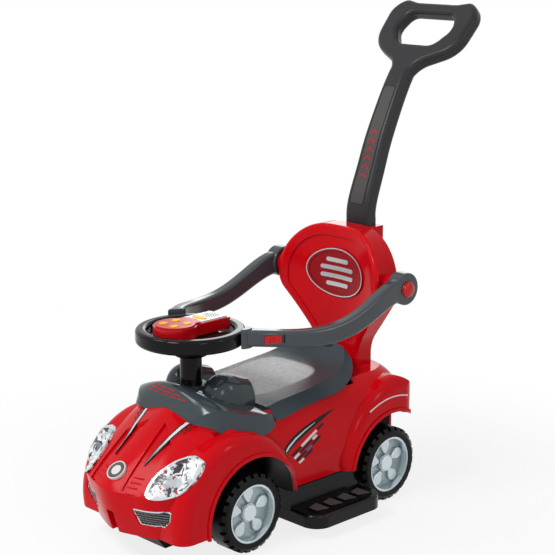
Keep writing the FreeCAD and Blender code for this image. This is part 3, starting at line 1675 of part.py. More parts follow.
# Wheels: tyres with shoulder lugs on rims with five club-shaped petals and a centre cap. Each is
# drawn along its own X axis, from the inner side outwards, and turned to the car's side.
def tyre(name):
    """A tyre of chamfered section with notches round both shoulders."""
    body = doc.addObject("PartDesign::Body", name)
    outline = sketch_on(body, "XY_Plane", "outline")
    shoulder = "sizes.tyre_radius - sizes.tyre_shoulder_drop"
    corners = [
        ("0", "sizes.tyre_bead_radius"),
        ("sizes.tyre_width", "sizes.tyre_bead_radius"),
        ("sizes.tyre_width", shoulder),
        ("sizes.tyre_width - sizes.tyre_shoulder_width", "sizes.tyre_radius"),
        ("sizes.tyre_shoulder_width", "sizes.tyre_radius"),
        ("0", shoulder),
    ]
    draw_polygon(outline, corners)
    revolve(body, outline)
    half = "sizes.tread_notch_width / 2"
    low = "sizes.tyre_radius - sizes.tread_notch_depth"
    high = "sizes.tyre_radius + sizes.overrun"
    cuts = []
    for offset, inward in ((None, True), ("sizes.tyre_width", False)):
        notch = sketch_on(body, "YZ_Plane", "notch", offset)
        draw_polygon(notch, [(f"-{half}", low), (half, low), (half, high), (f"-{half}", high)])
        cuts.append(pocket(body, notch, "sizes.tread_notch_reach", inward))
    around(body, cuts, outline, "H_Axis", "sizes.tread_notch_count")
    return body


RIM_FACE = "sizes.tyre_width - sizes.rim_inset"
WEB_FACE = f"{RIM_FACE} - sizes.rim_web_depth"
BOSS_FACE = f"{WEB_FACE} + sizes.rim_boss_rise"


def draw_petal(sketch):
    """A club: a wide arc at the rim, a small one at the hub, and tangent sides."""
    wide = Part.Circle(LEFT * s.rim_petal_orbit, UP, s.rim_petal_radius)
    small = Part.Circle(LEFT * s.rim_petal_root_orbit, UP, s.rim_petal_root_radius)
    lean = math.asin((wide.Radius - small.Radius) / (s.rim_petal_orbit - s.rim_petal_root_orbit))
    top = Part.ArcOfCircle(wide, lean, math.pi - lean)
    foot = Part.ArcOfCircle(small, math.pi - lean, 2 * math.pi + lean)
    arcs = [sketch.addGeometry(top), sketch.addGeometry(foot)]
    sides = [
        sketch.addGeometry(Part.LineSegment(top.EndPoint, foot.StartPoint)),
        sketch.addGeometry(Part.LineSegment(foot.EndPoint, top.StartPoint)),
    ]
    joins = [(arcs[0], 2, sides[0], 1), (sides[0], 2, arcs[1], 1)]
    joins += [(arcs[1], 2, sides[1], 1), (sides[1], 2, arcs[0], 1)]
    for join in joins:
        sketch.addConstraint(Sketcher.Constraint("Tangent", *join))
    for arc, circle, name in ((arcs[0], wide, "rim_petal"), (arcs[1], small, "rim_petal_root")):
        hold(sketch, "DistanceX", arc, 3, "0")
        hold(sketch, "DistanceY", arc, 3, f"sizes.{name}_orbit")
        size = sketch.addConstraint(Sketcher.Constraint("Radius", arc, circle.Radius))
        sketch.setExpression(f"Constraints[{size}]", f"sizes.{name}_radius")


def rim(name):
    """A rim with a bore, a web, a centre boss with room for the push nut, and five petals."""
    body = doc.addObject("PartDesign::Body", name)
    outline = sketch_on(body, "XY_Plane", "outline")
    bore = "sizes.axle_radius + sizes.running_clearance"
    seat = "sizes.tyre_bead_radius - sizes.running_clearance"
    barrel = f"{seat} - sizes.rim_barrel_wall"
    web_back = f"{WEB_FACE} - sizes.rim_web_wall"
    nut_floor = f"{BOSS_FACE} - sizes.nut_room_depth"
    corners = [
        ("sizes.rim_inset", bore),
        (nut_floor, bore),
        (nut_floor, "sizes.nut_room_radius"),
        (BOSS_FACE, "sizes.nut_room_radius"),
        (BOSS_FACE, "sizes.rim_boss_radius"),
        (WEB_FACE, "sizes.rim_boss_radius"),
        (WEB_FACE, barrel),
        (RIM_FACE, barrel),
        (RIM_FACE, seat),
        ("sizes.rim_inset", seat),
        ("sizes.rim_inset", barrel),
        (web_back, barrel),
        (web_back, "sizes.rim_hub_radius"),
        ("sizes.rim_inset", "sizes.rim_hub_radius"),
    ]
    draw_polygon(outline, corners)
    revolve(body, outline)
    petal = sketch_on(body, "YZ_Plane", "petal", WEB_FACE)
    draw_petal(petal)
    bulge = pad(body, petal, "sizes.rim_petal_height")
    petals = around(body, [bulge], outline, "H_Axis", "sizes.rim_petal_count")
    doc.recompute()
    top_x = s.tyre_width - s.rim_inset - s.rim_web_depth + s.rim_petal_height
    near = s.rim_petal_height / 100
    tops = edge_names(petals.Shape, lambda e: abs(e.BoundBox.XMin - top_x) < near)
    tops = [n for n in tops if petals.Shape.getElement(n).BoundBox.XLength < near]
    round_edges(body, petals, tops, "sizes.rim_petal_round")
    return body


def rounded_disc(name, radius, height, edge, start=None):
    """A disc along its own X axis with a rounded outer edge."""
    body = doc.addObject("PartDesign::Body", name)
    sketch = sketch_on(body, "YZ_Plane", "outline", start)
    draw_circle(sketch, "0", "0", radius)
    disc = pad(body, sketch, height)
    doc.recompute()
    far = disc.Shape.BoundBox.Center.x
    tops = edge_names(disc.Shape, lambda e: e.BoundBox.XMin > far)
    round_edges(body, disc, tops, edge)
    return body


def facing(body, sign, x, y, z):
    """Turns a body's own X axis to one side of the car and places it."""
    body.Placement.Rotation = Rotation(UP, sign * 90)
    body.setExpression("Placement.Base.x", x)
    body.setExpression("Placement.Base.y", f"{sign} * ({y})")
    body.setExpression("Placement.Base.z", z)
    return keep(body.Name, body)


AXLES = {"front": "sizes.front_axle_x", "rear": "sizes.front_axle_x - sizes.wheelbase"}
for end, axle_x in AXLES.items():
    for side, sign in SIDES.items():
        wheel = [
            tyre(f"{end}_tyre_{side}"),
            rim(f"{end}_rim_{side}"),
            rounded_disc(
                f"{end}_hub_cap_{side}",
                "sizes.cap_radius",
                "sizes.cap_thickness",
                "sizes.cap_round",
                BOSS_FACE,
            ),
        ]
        for body in wheel:
            facing(body, sign, axle_x, "sizes.tyre_outer_y - sizes.tyre_width", "sizes.tyre_radius")


# Guard arm pivots: pins fixed in the backrest, and press buttons over them in the arms' discs.
BUTTON_LIFT = "(sizes.pivot_button_travel + sizes.slide_clearance)"
for side, sign in SIDES.items():
    pin = doc.addObject("Part::Cylinder", f"pivot_pin_{side}")
    tip = "sizes.pivot_outer_y - sizes.pivot_button_room - sizes.slide_clearance"
    pin.setExpression("Radius", "sizes.pivot_pin_radius")
    pin.setExpression("Height", f"{tip} - sizes.pivot_pin_root_y")
    pin.Placement.Rotation = Rotation(AHEAD, -90 * sign)
    pin.setExpression("Placement.Base.x", "sizes.pivot_x")
    pin.setExpression("Placement.Base.y", f"{sign} * sizes.pivot_pin_root_y")
    pin.setExpression("Placement.Base.z", "sizes.pivot_z")
    keep(f"pivot_pin_{side}", pin)
    button = rounded_disc(
        f"pivot_button_{side}",
        "sizes.pivot_button_radius",
        f"sizes.pivot_button_room - {BUTTON_LIFT} + sizes.pivot_button_proud",
        "sizes.pivot_button_proud - sizes.slide_clearance",
    )
    foot = f"sizes.pivot_outer_y - sizes.pivot_button_room + {BUTTON_LIFT}"
    facing(button, sign, "sizes.pivot_x", foot, "sizes.pivot_z")

hinge_pin = doc.addObject("Part::Cylinder", "seat_hinge_pin")
HALF_PIN = "(sizes.seat_barrel_half_length + sizes.fit_clearance + sizes.seat_lug_width)"
hinge_pin.setExpression("Radius", "sizes.seat_pin_radius")
hinge_pin.setExpression("Height", f"2 * {HALF_PIN}")
hinge_pin.Placement.Rotation = Rotation(AHEAD, -90)
hinge_pin.setExpression("Placement.Base.x", "sizes.seat_hinge_x")
hinge_pin.setExpression("Placement.Base.y", f"-{HALF_PIN}")
hinge_pin.setExpression("Placement.Base.z", "sizes.seat_hinge_z")
keep("seat_hinge_pin", hinge_pin)


# Push handle: a bent pole that stands in the backrest's socket and ends in a wide loop.
# way back, rise and lean, as shares of the pole's own
POLE_SHARES = (
    (0, 0, 0),
    (0.012, 0.085, 0.3),
    (0.17, 0.28, 0.46),
    (0.362, 0.495, 0.52),
    (0.6, 0.71, 0.6),
    (0.8545, 0.908, 0.7),
    (1, 1, 0.82),
)
# half-width, distance from the neck and corner radius of the loop's outline
LOOP_CORNER_SHARES = (
    (0.21, -0.08, 0),
    (0.24, 0.1, 0.24),
    (0.964, 0.344, 0.355),
    (1.01, 0.905, 0.25),
    (0.73, 1.01, 0.1),
    (0.455, 0.97, 0.23),
)
# the same for the grip hole
GRIP_CORNER_SHARES = ((0.4, 0.37, 0.17), (0.64, 0.6, 0.17), (0.52, 0.815, 0.11))


def leaning(share):
    """The pole's direction at a share of the loop's tilt, and the normal of its front face."""
    angle = math.radians(s.loop_tilt * share)
    along = Vector(-math.sin(angle), 0, math.cos(angle))
    return along, LEFT.cross(along)


def pole():
    """The straight foot and the bent, tapering pole above it."""
    foot = pole_room(0, s.pole_bottom_z, s.pole_straight_top_z)
    wires = []
    for back, up, lean in POLE_SHARES:
        centre = Vector(
            s.pole_x - back * s.pole_run_back, 0, s.pole_straight_top_z + up * s.pole_rise
        )
        _, normal = leaning(lean)
        width = s.pole_width + up * (s.pole_neck_width - s.pole_width)
        wires.append(rounded_rectangle(centre, LEFT, normal, width, s.pole_thickness, s.pole_round))
    return foot.fuse(Part.makeLoft(wires, True, False))


def loop_plate(corner_shares):
    """A flat plate of the loop's thickness with rounded corners."""
    corners = [
        (Vector(0, -out * s.loop_half_width, along * s.loop_length), radius * s.loop_length)
        for out, along, radius in corner_shares
    ]
    return rounded_prism(corners, AHEAD * s.loop_thickness)


def handle_loop():
    """The wide loop with its grip hole, drawn flat and leant back at the neck."""
    thick = s.loop_thickness
    plate = loop_plate(LOOP_CORNER_SHARES).cut(loop_plate(GRIP_CORNER_SHARES))
    plate = rounded_all(
        plate,
        s.loop_round,
        lambda e: e.BoundBox.XLength < thick / 100 and e.BoundBox.ZMax > 0,
    )
    plate.translate(AHEAD * (-thick / 2))
    plate.rotate(ORIGIN, LEFT, -s.loop_tilt)
    neck = Vector(s.pole_x - s.pole_run_back, 0, s.pole_straight_top_z + s.pole_rise)
    plate.translate(neck)
    return plate


feature("push_handle", pole().fuse(handle_loop()))
lock_button = rounded_disc(
    "handle_lock_button",
    "sizes.lock_button_radius",
    "sizes.lock_boss_depth - sizes.lock_button_travel - sizes.slide_clearance"
    " + sizes.lock_button_proud",
    "sizes.lock_button_proud / 2",
)
lock_button.Placement.Rotation = Rotation(UP, 180)
socket_back = "sizes.pole_x - sizes.pole_thickness / 2 - sizes.slide_clearance - sizes.socket_wall"
lock_button.setExpression(
    "Placement.Base.x", f"{socket_back} - sizes.lock_button_travel - sizes.slide_clearance"
)
lock_button.setExpression("Placement.Base.z", "sizes.lock_button_z")
keep("handle_lock_button", lock_button)


doc.recompute()
for item in doc.Objects:
    if "Invalid" in item.State or "Error" in item.State:
        raise RuntimeError(f"{item.Label} failed: {item.State}")
for piece in pieces:
    if piece.Shape.isNull() or not piece.Shape.isValid():
        raise RuntimeError(f"{piece.Label} has no valid shape")

os.makedirs("parts", exist_ok=True)
for piece in pieces:
    print(piece.Label, len(piece.Shape.Solids), len(piece.Shape.Faces), round(piece.Shape.Volume))
    piece.Shape.exportStep(f"parts/{piece.Label}.step")
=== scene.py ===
import math

import bmesh
import bpy
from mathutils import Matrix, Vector
from mathutils.bvhtree import BVHTree


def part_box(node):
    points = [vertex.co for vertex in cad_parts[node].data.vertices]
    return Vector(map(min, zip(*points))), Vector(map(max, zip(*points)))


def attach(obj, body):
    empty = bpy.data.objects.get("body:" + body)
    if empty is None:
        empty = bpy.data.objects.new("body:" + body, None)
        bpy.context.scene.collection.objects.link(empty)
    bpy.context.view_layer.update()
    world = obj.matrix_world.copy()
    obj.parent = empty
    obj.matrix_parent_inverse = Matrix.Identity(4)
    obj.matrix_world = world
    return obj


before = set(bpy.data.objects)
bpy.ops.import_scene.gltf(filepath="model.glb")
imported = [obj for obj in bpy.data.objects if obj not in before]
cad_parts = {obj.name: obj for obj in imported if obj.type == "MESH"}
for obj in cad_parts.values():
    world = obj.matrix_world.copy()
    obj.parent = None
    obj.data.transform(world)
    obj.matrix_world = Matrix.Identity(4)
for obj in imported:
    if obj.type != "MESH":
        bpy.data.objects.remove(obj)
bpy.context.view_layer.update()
scene = bpy.context.scene
scene.view_settings.view_transform = "Standard"

# Chassis: the black tub under the red moulding, injection moulded in recycled polypropylene.
# It carries the axles, the storage box and the chin, and shows only in the arches and below.
SIDES = {"left": 1, "right": -1}
CHASSIS_BLACK = (0.0028, 0.0028, 0.0031)
CHASSIS_SHADE = (0.0045, 0.0045, 0.0048)
POLISH_SPREAD = 0.12


def moulded(name, colour, shade, roughness, grain, gloss=0.15, metallic=0):
    """Moulded plastic: its colour drifts a little, its polish varies, and the mould left a fine grain."""
    scale, depth = grain
    material = bpy.data.materials.new(name)
    material.use_nodes = True
    nodes, links = material.node_tree.nodes, material.node_tree.links
    shader = nodes["Principled BSDF"]
    shader.inputs["Specular IOR Level"].default_value = gloss
    shader.inputs["Metallic"].default_value = metallic
    place = nodes.new("ShaderNodeTexCoord")
    drift = nodes.new("ShaderNodeTexNoise")
    drift.inputs["Scale"].default_value = 14
    drift.inputs["Detail"].default_value = 4
    links.new(place.outputs["Object"], drift.inputs["Vector"])
    tint = nodes.new("ShaderNodeMix")
    tint.data_type = "RGBA"
    tint.inputs["A"].default_value = (*colour, 1)
    tint.inputs["B"].default_value = (*shade, 1)
    links.new(drift.outputs["Fac"], tint.inputs["Factor"])
    links.new(tint.outputs["Result"], shader.inputs["Base Color"])
    polish = nodes.new("ShaderNodeMapRange")
    polish.inputs["From Min"].default_value = 0.3
    polish.inputs["From Max"].default_value = 0.7
    polish.inputs["To Min"].default_value = roughness * (1 - POLISH_SPREAD)
    polish.inputs["To Max"].default_value = roughness * (1 + POLISH_SPREAD)
    links.new(drift.outputs["Fac"], polish.inputs["Value"])
    links.new(polish.outputs["Result"], shader.inputs["Roughness"])
    pits = nodes.new("ShaderNodeTexNoise")
    pits.inputs["Scale"].default_value = scale
    pits.inputs["Detail"].default_value = 3
    links.new(place.outputs["Object"], pits.inputs["Vector"])
    bump = nodes.new("ShaderNodeBump")
    bump.inputs["Distance"].default_value = depth
    links.new(pits.outputs["Fac"], bump.inputs["Height"])
    links.new(bump.outputs["Normal"], shader.inputs["Normal"])
    return material


def dress(material, *names):
    """Gives CAD pieces a finish."""
    for name in names:
        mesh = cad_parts[name].data
        mesh.materials.clear()
        mesh.materials.append(material)


def both(name):
    """The names of a left and a right piece."""
    return [f"{name}_{side}" for side in SIDES]


chassis_plastic = moulded(
    "chassis_plastic", CHASSIS_BLACK, CHASSIS_SHADE, roughness=0.4, grain=(900, 0.00012), gloss=0.05
)
dress(chassis_plastic, "chassis", "tie_rod", "crank_lever", "rear_spacers", *both("knuckle"))

# Axles and pins: drawn steel rod, zinc plated, held by pressed washers and push nuts.
# The rods stay in the dark under the car; their ends are covered by the hub caps.
ZINC = (0.5, 0.51, 0.52)
zinc = moulded("zinc_plate", ZINC, (0.38, 0.39, 0.4), roughness=0.3, grain=(1500, 0.00002), metallic=1)
dress(zinc, "rear_axle", "rear_push_nuts", "steering_rod", "seat_hinge_pin")
dress(zinc, *both("kingpin"), *both("front_retainers"), *both("pivot_pin"))

# Wheels: hollow blow-moulded tyres with notched shoulders, and rims snapped into them.
# The rims are sprayed a pale blue silver, with five club-shaped bulges round a plain cap.
TYRE_BLACK = (0.004, 0.004, 0.0043)
RIM_SILVER = (0.74, 0.82, 0.85)
RIM_PAINTED_SHADE = (0.27, 0.33, 0.352)
RIM_SHADE_DEPTHS = (0.1215, 0.1305)
tyre_plastic = moulded(
    "tyre_plastic", TYRE_BLACK, (0.0065, 0.0065, 0.007), roughness=0.34, grain=(700, 0.0001), gloss=0.12
)


def shaded_along(material, axis, span, colour):
    """Blends another colour in along one axis, full at the span's start and gone at its end."""
    nodes, links = material.node_tree.nodes, material.node_tree.links
    shader = nodes["Principled BSDF"]
    place = next(n for n in nodes if n.bl_idname == "ShaderNodeTexCoord")
    split = nodes.new("ShaderNodeSeparateXYZ")
    links.new(place.outputs["Object"], split.inputs["Vector"])
    outward = nodes.new("ShaderNodeMath")
    outward.operation = "ABSOLUTE"
    links.new(split.outputs[axis], outward.inputs[0])
    share = nodes.new("ShaderNodeMapRange")
    share.inputs["From Min"].default_value = span[0]
    share.inputs["From Max"].default_value = span[1]
    links.new(outward.outputs["Value"], share.inputs["Value"])
    cover = nodes.new("ShaderNodeMix")
    cover.data_type = "RGBA"
    cover.inputs["A"].default_value = (*colour, 1)
    links.new(share.outputs["Result"], cover.inputs["Factor"])
    links.new(shader.inputs["Base Color"].links[0].from_socket, cover.inputs["B"])
    links.new(cover.outputs["Result"], shader.inputs["Base Color"])


rim_paint = moulded(
    "rim_silver_paint", RIM_SILVER, (0.64, 0.72, 0.76),
    roughness=0.24, grain=(2500, 0.00001), gloss=0.4, metallic=0.55,
)
# Painted shade: the rims darken towards their deep web, where the bulges and the lip shade it.
shaded_along(rim_paint, "Y", RIM_SHADE_DEPTHS, RIM_PAINTED_SHADE)
for end in ("front", "rear"):
    dress(tyre_plastic, *both(f"{end}_tyre"))
    dress(rim_paint, *both(f"{end}_rim"), *both(f"{end}_hub_cap"))

# Body shell: one red moulding from bumper to tail, polished in the mould.
# Foils are pressed on it: a silver streak with a dark fade on each side of the hood, blades and dashes
# on the sides and a pinstripe over each rear arch. Three ribs lie at the foot of each hood valley.
BODY_RED = (0.6, 0.002, 0.0075)
body_gloss = moulded(
    "body_red_gloss", BODY_RED, (0.54, 0.0016, 0.006), roughness=0.13, grain=(60, 0.00012), gloss=0.09
)
dress(body_gloss, "body_shell")
UP = (0, 0, 1)
DOWN = (0, 0, -1)
FORWARD = (1, 0, 0)
REARWARD = (-1, 0, 0)
FINE_GRAIN = (900, 0.00002)
FOIL_NET = 0.005
FINE_NET = 0.003
FOIL_LIFT = 0.00035
FOIL_SINK = 0.0006
TAUT_STEP = 0.002
TAUT_STEPS = 30
TAUT_WALL = 0.0012


def carried(name):
    """The surface of a CAD piece, for laying other pieces on it."""
    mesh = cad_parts[name].data
    return BVHTree.FromPolygons([v.co for v in mesh.vertices], [f.vertices for f in mesh.polygons])


def add_piece(name, mesh, material, body):
    """Puts a finished mesh in the scene and lets it ride on a body."""
    mesh.materials.clear()
    mesh.materials.append(material)
    piece = bpy.data.objects.new(name, mesh)
    scene.collection.objects.link(piece)
    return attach(piece, body)


def stretched(surface, start, toward, way):
    """How high a piece that is pulled taut along a way stands over a hollow at one point."""
    rises = {}
    for i in range(-TAUT_STEPS, TAUT_STEPS + 1):
        hit = surface.ray_cast(start + way * i * TAUT_STEP, toward)[0]
        if hit is not None:
            rises[i] = -hit.dot(toward)
    best = rises[0]
    for a in (i for i in rises if i < 0):
        for b in (i for i in rises if i > 0):
            best = max(best, rises[a] + (rises[b] - rises[a]) * a / (a - b))
    return best - rises[0]


def pressed_on(
    name, carrier, loops, toward, material, body="car", lift=FOIL_LIFT, net=FOIL_NET, taut=None
):
    """Flat outlines, cut into a fine net and laid thinly on a CAD piece or pulled taut over it."""
    flat = bmesh.new()
    for loop in loops:
        flat.faces.new([flat.verts.new(point) for point in loop])
    bmesh.ops.remove_doubles(flat, verts=flat.verts, dist=1e-6)
    toward = Vector(toward)
    for axis in (Vector((1, 0, 0)), Vector((0, 1, 0)), Vector((0, 0, 1))):
        if abs(axis.dot(toward)) > 0.5:
            continue
        reach = [v.co.dot(axis) for v in flat.verts]
        for i in range(1, math.ceil((max(reach) - min(reach)) / net)):
            everything = flat.verts[:] + flat.edges[:] + flat.faces[:]
            at = axis * (min(reach) + i * net)
            bmesh.ops.bisect_plane(flat, geom=everything, plane_co=at, plane_no=axis)
    surface = carried(carrier)
    below, above = [], []
    for i, vert in enumerate(flat.verts):
        vert.index = i
        hit, normal, _, _ = surface.ray_cast(vert.co, toward)
        if hit is None:
            hit, normal, _, _ = surface.find_nearest(vert.co)
        below.append(hit - normal * FOIL_SINK)
        above.append(hit + normal * lift)
        if taut is not None:
            rise = stretched(surface, vert.co, toward, taut)
            above[-1] -= toward * rise
            below[-1] -= toward * max(0, rise - TAUT_WALL)
    count = len(below)
    faces = []
    for face in flat.faces:
        ring = [v.index for v in face.verts]
        faces += [[i + count for i in ring], ring[::-1]]
    for edge in flat.edges:
        if edge.is_boundary:
            a, b = (v.index for v in edge.verts)
            faces.append([a, b, b + count, a + count])
    flat.free()
    mesh = bpy.data.meshes.new(name)
    mesh.from_pydata(below + above, [], faces)
    solid = bmesh.new()
    solid.from_mesh(mesh)
    bmesh.ops.recalc_face_normals(solid, faces=solid.faces)
    solid.to_mesh(mesh)
    solid.free()
    return add_piece(name, mesh, material, body)


def band(one, other):
    """The quads between two lines of points."""
    return [[one[i], one[i + 1], other[i + 1], other[i]] for i in range(len(one) - 1)]


def ring_band(one, other):
    """The quads between two closed lines of points."""
    return band(one + one[:1], other + other[:1])


def seen_from_above(line, sign, z=0.6):
    """Plan points of the left side, or their mirror images, over the car."""
    return [(x, sign * y, z) for x, y in line]


def seen_from_side(line, sign, y=0.4):
    """Side view points, beside the car's left or right."""
    return [(x, sign * y, z) for x, z in line]


def seen_from_front(line, sign=1, x=0.6):
    """Front view points of the left side, or their mirror images, ahead of the car or of one piece."""
    return [(x, sign * y, z) for y, z in line]


def arc(centre, radii, turns):
    """Points of an ellipse, or of a part of it, at given angles."""
    return [(centre[0] + radii[0] * math.cos(a), centre[1] + radii[1] * math.sin(a)) for a in turns]


def spots(name, places):
    """A mesh of bare points, each with the direction that a small part on it takes."""
    mesh = bpy.data.meshes.new(name)
    mesh.from_pydata([point for point, _ in places], [], [])
    axes = mesh.attributes.new("axis", "FLOAT_VECTOR", "POINT")
    for item, (_, axis) in zip(axes.data, places):
        item.vector = axis
    return mesh


def tree_of(name, sizes):
    """An empty geometry tree with named sizes and a finish, and its group input and output."""
    tree = bpy.data.node_groups.new(name, "GeometryNodeTree")
    tree.interface.new_socket("Geometry", in_out="INPUT", socket_type="NodeSocketGeometry")
    for size in sizes:
        tree.interface.new_socket(size, in_out="INPUT", socket_type="NodeSocketFloat")
    tree.interface.new_socket("Finish", in_out="INPUT", socket_type="NodeSocketMaterial")
    tree.interface.new_socket("Geometry", in_out="OUTPUT", socket_type="NodeSocketGeometry")
    return tree, tree.nodes.new("NodeGroupInput"), tree.nodes.new("NodeGroupOutput")


def set_on_spots(tree, given, out, shape):
    """Sets a shape on every point along its axis, realized and with its finish."""
    axis = tree.nodes.new("GeometryNodeInputNamedAttribute")
    axis.data_type = "FLOAT_VECTOR"
    axis.inputs["Name"].default_value = "axis"
    turn = tree.nodes.new("FunctionNodeAlignRotationToVector")
    turn.axis = "Z"
    tree.links.new(axis.outputs["Attribute"], turn.inputs["Vector"])
    put = tree.nodes.new("GeometryNodeInstanceOnPoints")
    tree.links.new(given.outputs["Geometry"], put.inputs["Points"])
    tree.links.new(shape, put.inputs["Instance"])
    tree.links.new(turn.outputs["Rotation"], put.inputs["Rotation"])
    real = tree.nodes.new("GeometryNodeRealizeInstances")
    tree.links.new(put.outputs["Instances"], real.inputs["Geometry"])
    finish = tree.nodes.new("GeometryNodeSetMaterial")
    tree.links.new(real.outputs["Geometry"], finish.inputs["Geometry"])
    tree.links.new(given.outputs["Finish"], finish.inputs["Material"])
    tree.links.new(finish.outputs["Geometry"], out.inputs["Geometry"])


def rods_tree():
    """Round rods, one on each point: ribs when half sunk, dots when short."""
    tree, given, out = tree_of("rods", ("Radius", "Length"))
    rod = tree.nodes.new("GeometryNodeMeshCylinder")
    rod.inputs["Vertices"].default_value = 16
    tree.links.new(given.outputs["Radius"], rod.inputs["Radius"])
    tree.links.new(given.outputs["Length"], rod.inputs["Depth"])
    set_on_spots(tree, given, out, rod.outputs["Mesh"])
    return tree


def grown(name, tree, places, values, material, body):
    """Runs a tree on points and keeps the result as a plain piece."""
    holder = bpy.data.objects.new(f"{name}_spots", spots(f"{name}_spots", places))
    scene.collection.objects.link(holder)
    modifier = holder.modifiers.new("nodes", "NODES")
    modifier.node_group = tree
    wanted = dict(values, Finish=material)
    for item in tree.interface.items_tree:
        if item.in_out == "INPUT" and item.name in wanted:
            modifier[item.identifier] = wanted[item.name]
    graph = bpy.context.evaluated_depsgraph_get()
    mesh = bpy.data.meshes.new_from_object(holder.evaluated_get(graph))
    mesh.name = name
    bpy.data.objects.remove(holder)
    return add_piece(name, mesh, material, body)


foil_silver = moulded(
    "foil_silver", (0.62, 0.63, 0.64), (0.5, 0.51, 0.52), roughness=0.25, grain=FINE_GRAIN, metallic=0.5
)
foil_black = moulded(
    "foil_black", (0.005, 0.005, 0.0055), (0.008, 0.008, 0.0085), roughness=0.3, grain=FINE_GRAIN
)
foil_white = moulded("foil_white", (0.8, 0.8, 0.8), (0.72, 0.72, 0.72), roughness=0.3, grain=FINE_GRAIN)
STREAK_INNER = (
    (0.389, 0.0406), (0.377, 0.0411), (0.355, 0.0429), (0.337, 0.0462), (0.316, 0.0499), (0.3025, 0.0536)
)
STREAK_OUTER = (
    (0.389, 0.0414), (0.377, 0.0431), (0.355, 0.0468), (0.337, 0.0514), (0.316, 0.0562), (0.301, 0.0607)
)
STREAK_BORDER = (0.0005, 0.0011, 0.0018, 0.0025, 0.0032, 0.0036)
STREAK_DARK = (0.05, 0.05, 0.05)
STREAK_FADE = (0.386, 0.335)
FADE_COUNT = 9
FADE_ROWS = 3
FADE_START = (0.336, 0.0539)
FADE_END = (0.3, 0.0649)
FADE_GAP = 0.0008
FADE_SIZE = 0.0024
FADE_SIZE_GROWTH = 0.0014
FADE_FILL = 0.45
FADE_FILL_GROWTH = 0.5
SIDE_BLADE_TOP = (
    (0.14, 0.168), (0.132, 0.179), (0.115, 0.191), (0.09, 0.2015),
    (0.06, 0.2095), (0.03, 0.2155), (0.002, 0.22),
)
SIDE_BLADE_LOW = (
    (0.133, 0.158), (0.122, 0.168), (0.104, 0.1785), (0.082, 0.1885),
    (0.056, 0.1985), (0.03, 0.2085), (0.002, 0.2195),
)
SIDE_SHINE_TOP = ((0.1362, 0.1655), (0.126, 0.1765), (0.108, 0.1878), (0.084, 0.1975), (0.056, 0.2058))
SIDE_SHINE_LOW = ((0.134, 0.1625), (0.1235, 0.173), (0.1065, 0.1843), (0.0835, 0.1952), (0.056, 0.205))
DASH_START = (0.12, 0.1568)
DASH_WAY = (-0.884, 0.467)
DASH_DROP = (-0.467, -0.884)
DASH_PITCH = 0.0082
DASH_WIDTH = 0.0056
DASH_LEAN = 0.002
DASH_RUNS = (
    ((0.001, 0.026, "dark"), (0.029, 0.074, "light"), (0.077, 0.094, "dark")),
    ((0.003, 0.018, "light"), (0.021, 0.055, "dark"), (0.058, 0.07, "light")),
    ((0.006, 0.034, "dark"), (0.037, 0.049, "blue"), (0.052, 0.077, "dark")),
    ((0.009, 0.022, "light"), (0.025, 0.048, "dark")),
)
ARCH_CENTRE = (-0.1455, 0.0735)
PIN_RADII = (0.1387, 0.1411)
PIN_ANGLES = (62, 108)
PIN_STEPS = 16
RIB_HEIGHTS = (0.1515, 0.1585, 0.1655)
RIB_SPAN = (0.037, 0.057)
RIB_SIZES = {"Radius": 0.0017, "Length": 0.02}
foil_streak = moulded(
    "foil_streak", (0.7, 0.7, 0.7), (0.62, 0.62, 0.62), roughness=0.25, grain=FINE_GRAIN
)
shaded_along(foil_streak, "X", STREAK_FADE, STREAK_DARK)
foil_blue = moulded("foil_blue", (0.03, 0.13, 0.3), (0.025, 0.1, 0.25), roughness=0.3, grain=FINE_GRAIN)
DASH_FOILS = {"dark": foil_black, "light": foil_silver, "blue": foil_blue}
rods = rods_tree()
body_surface = carried("body_shell")
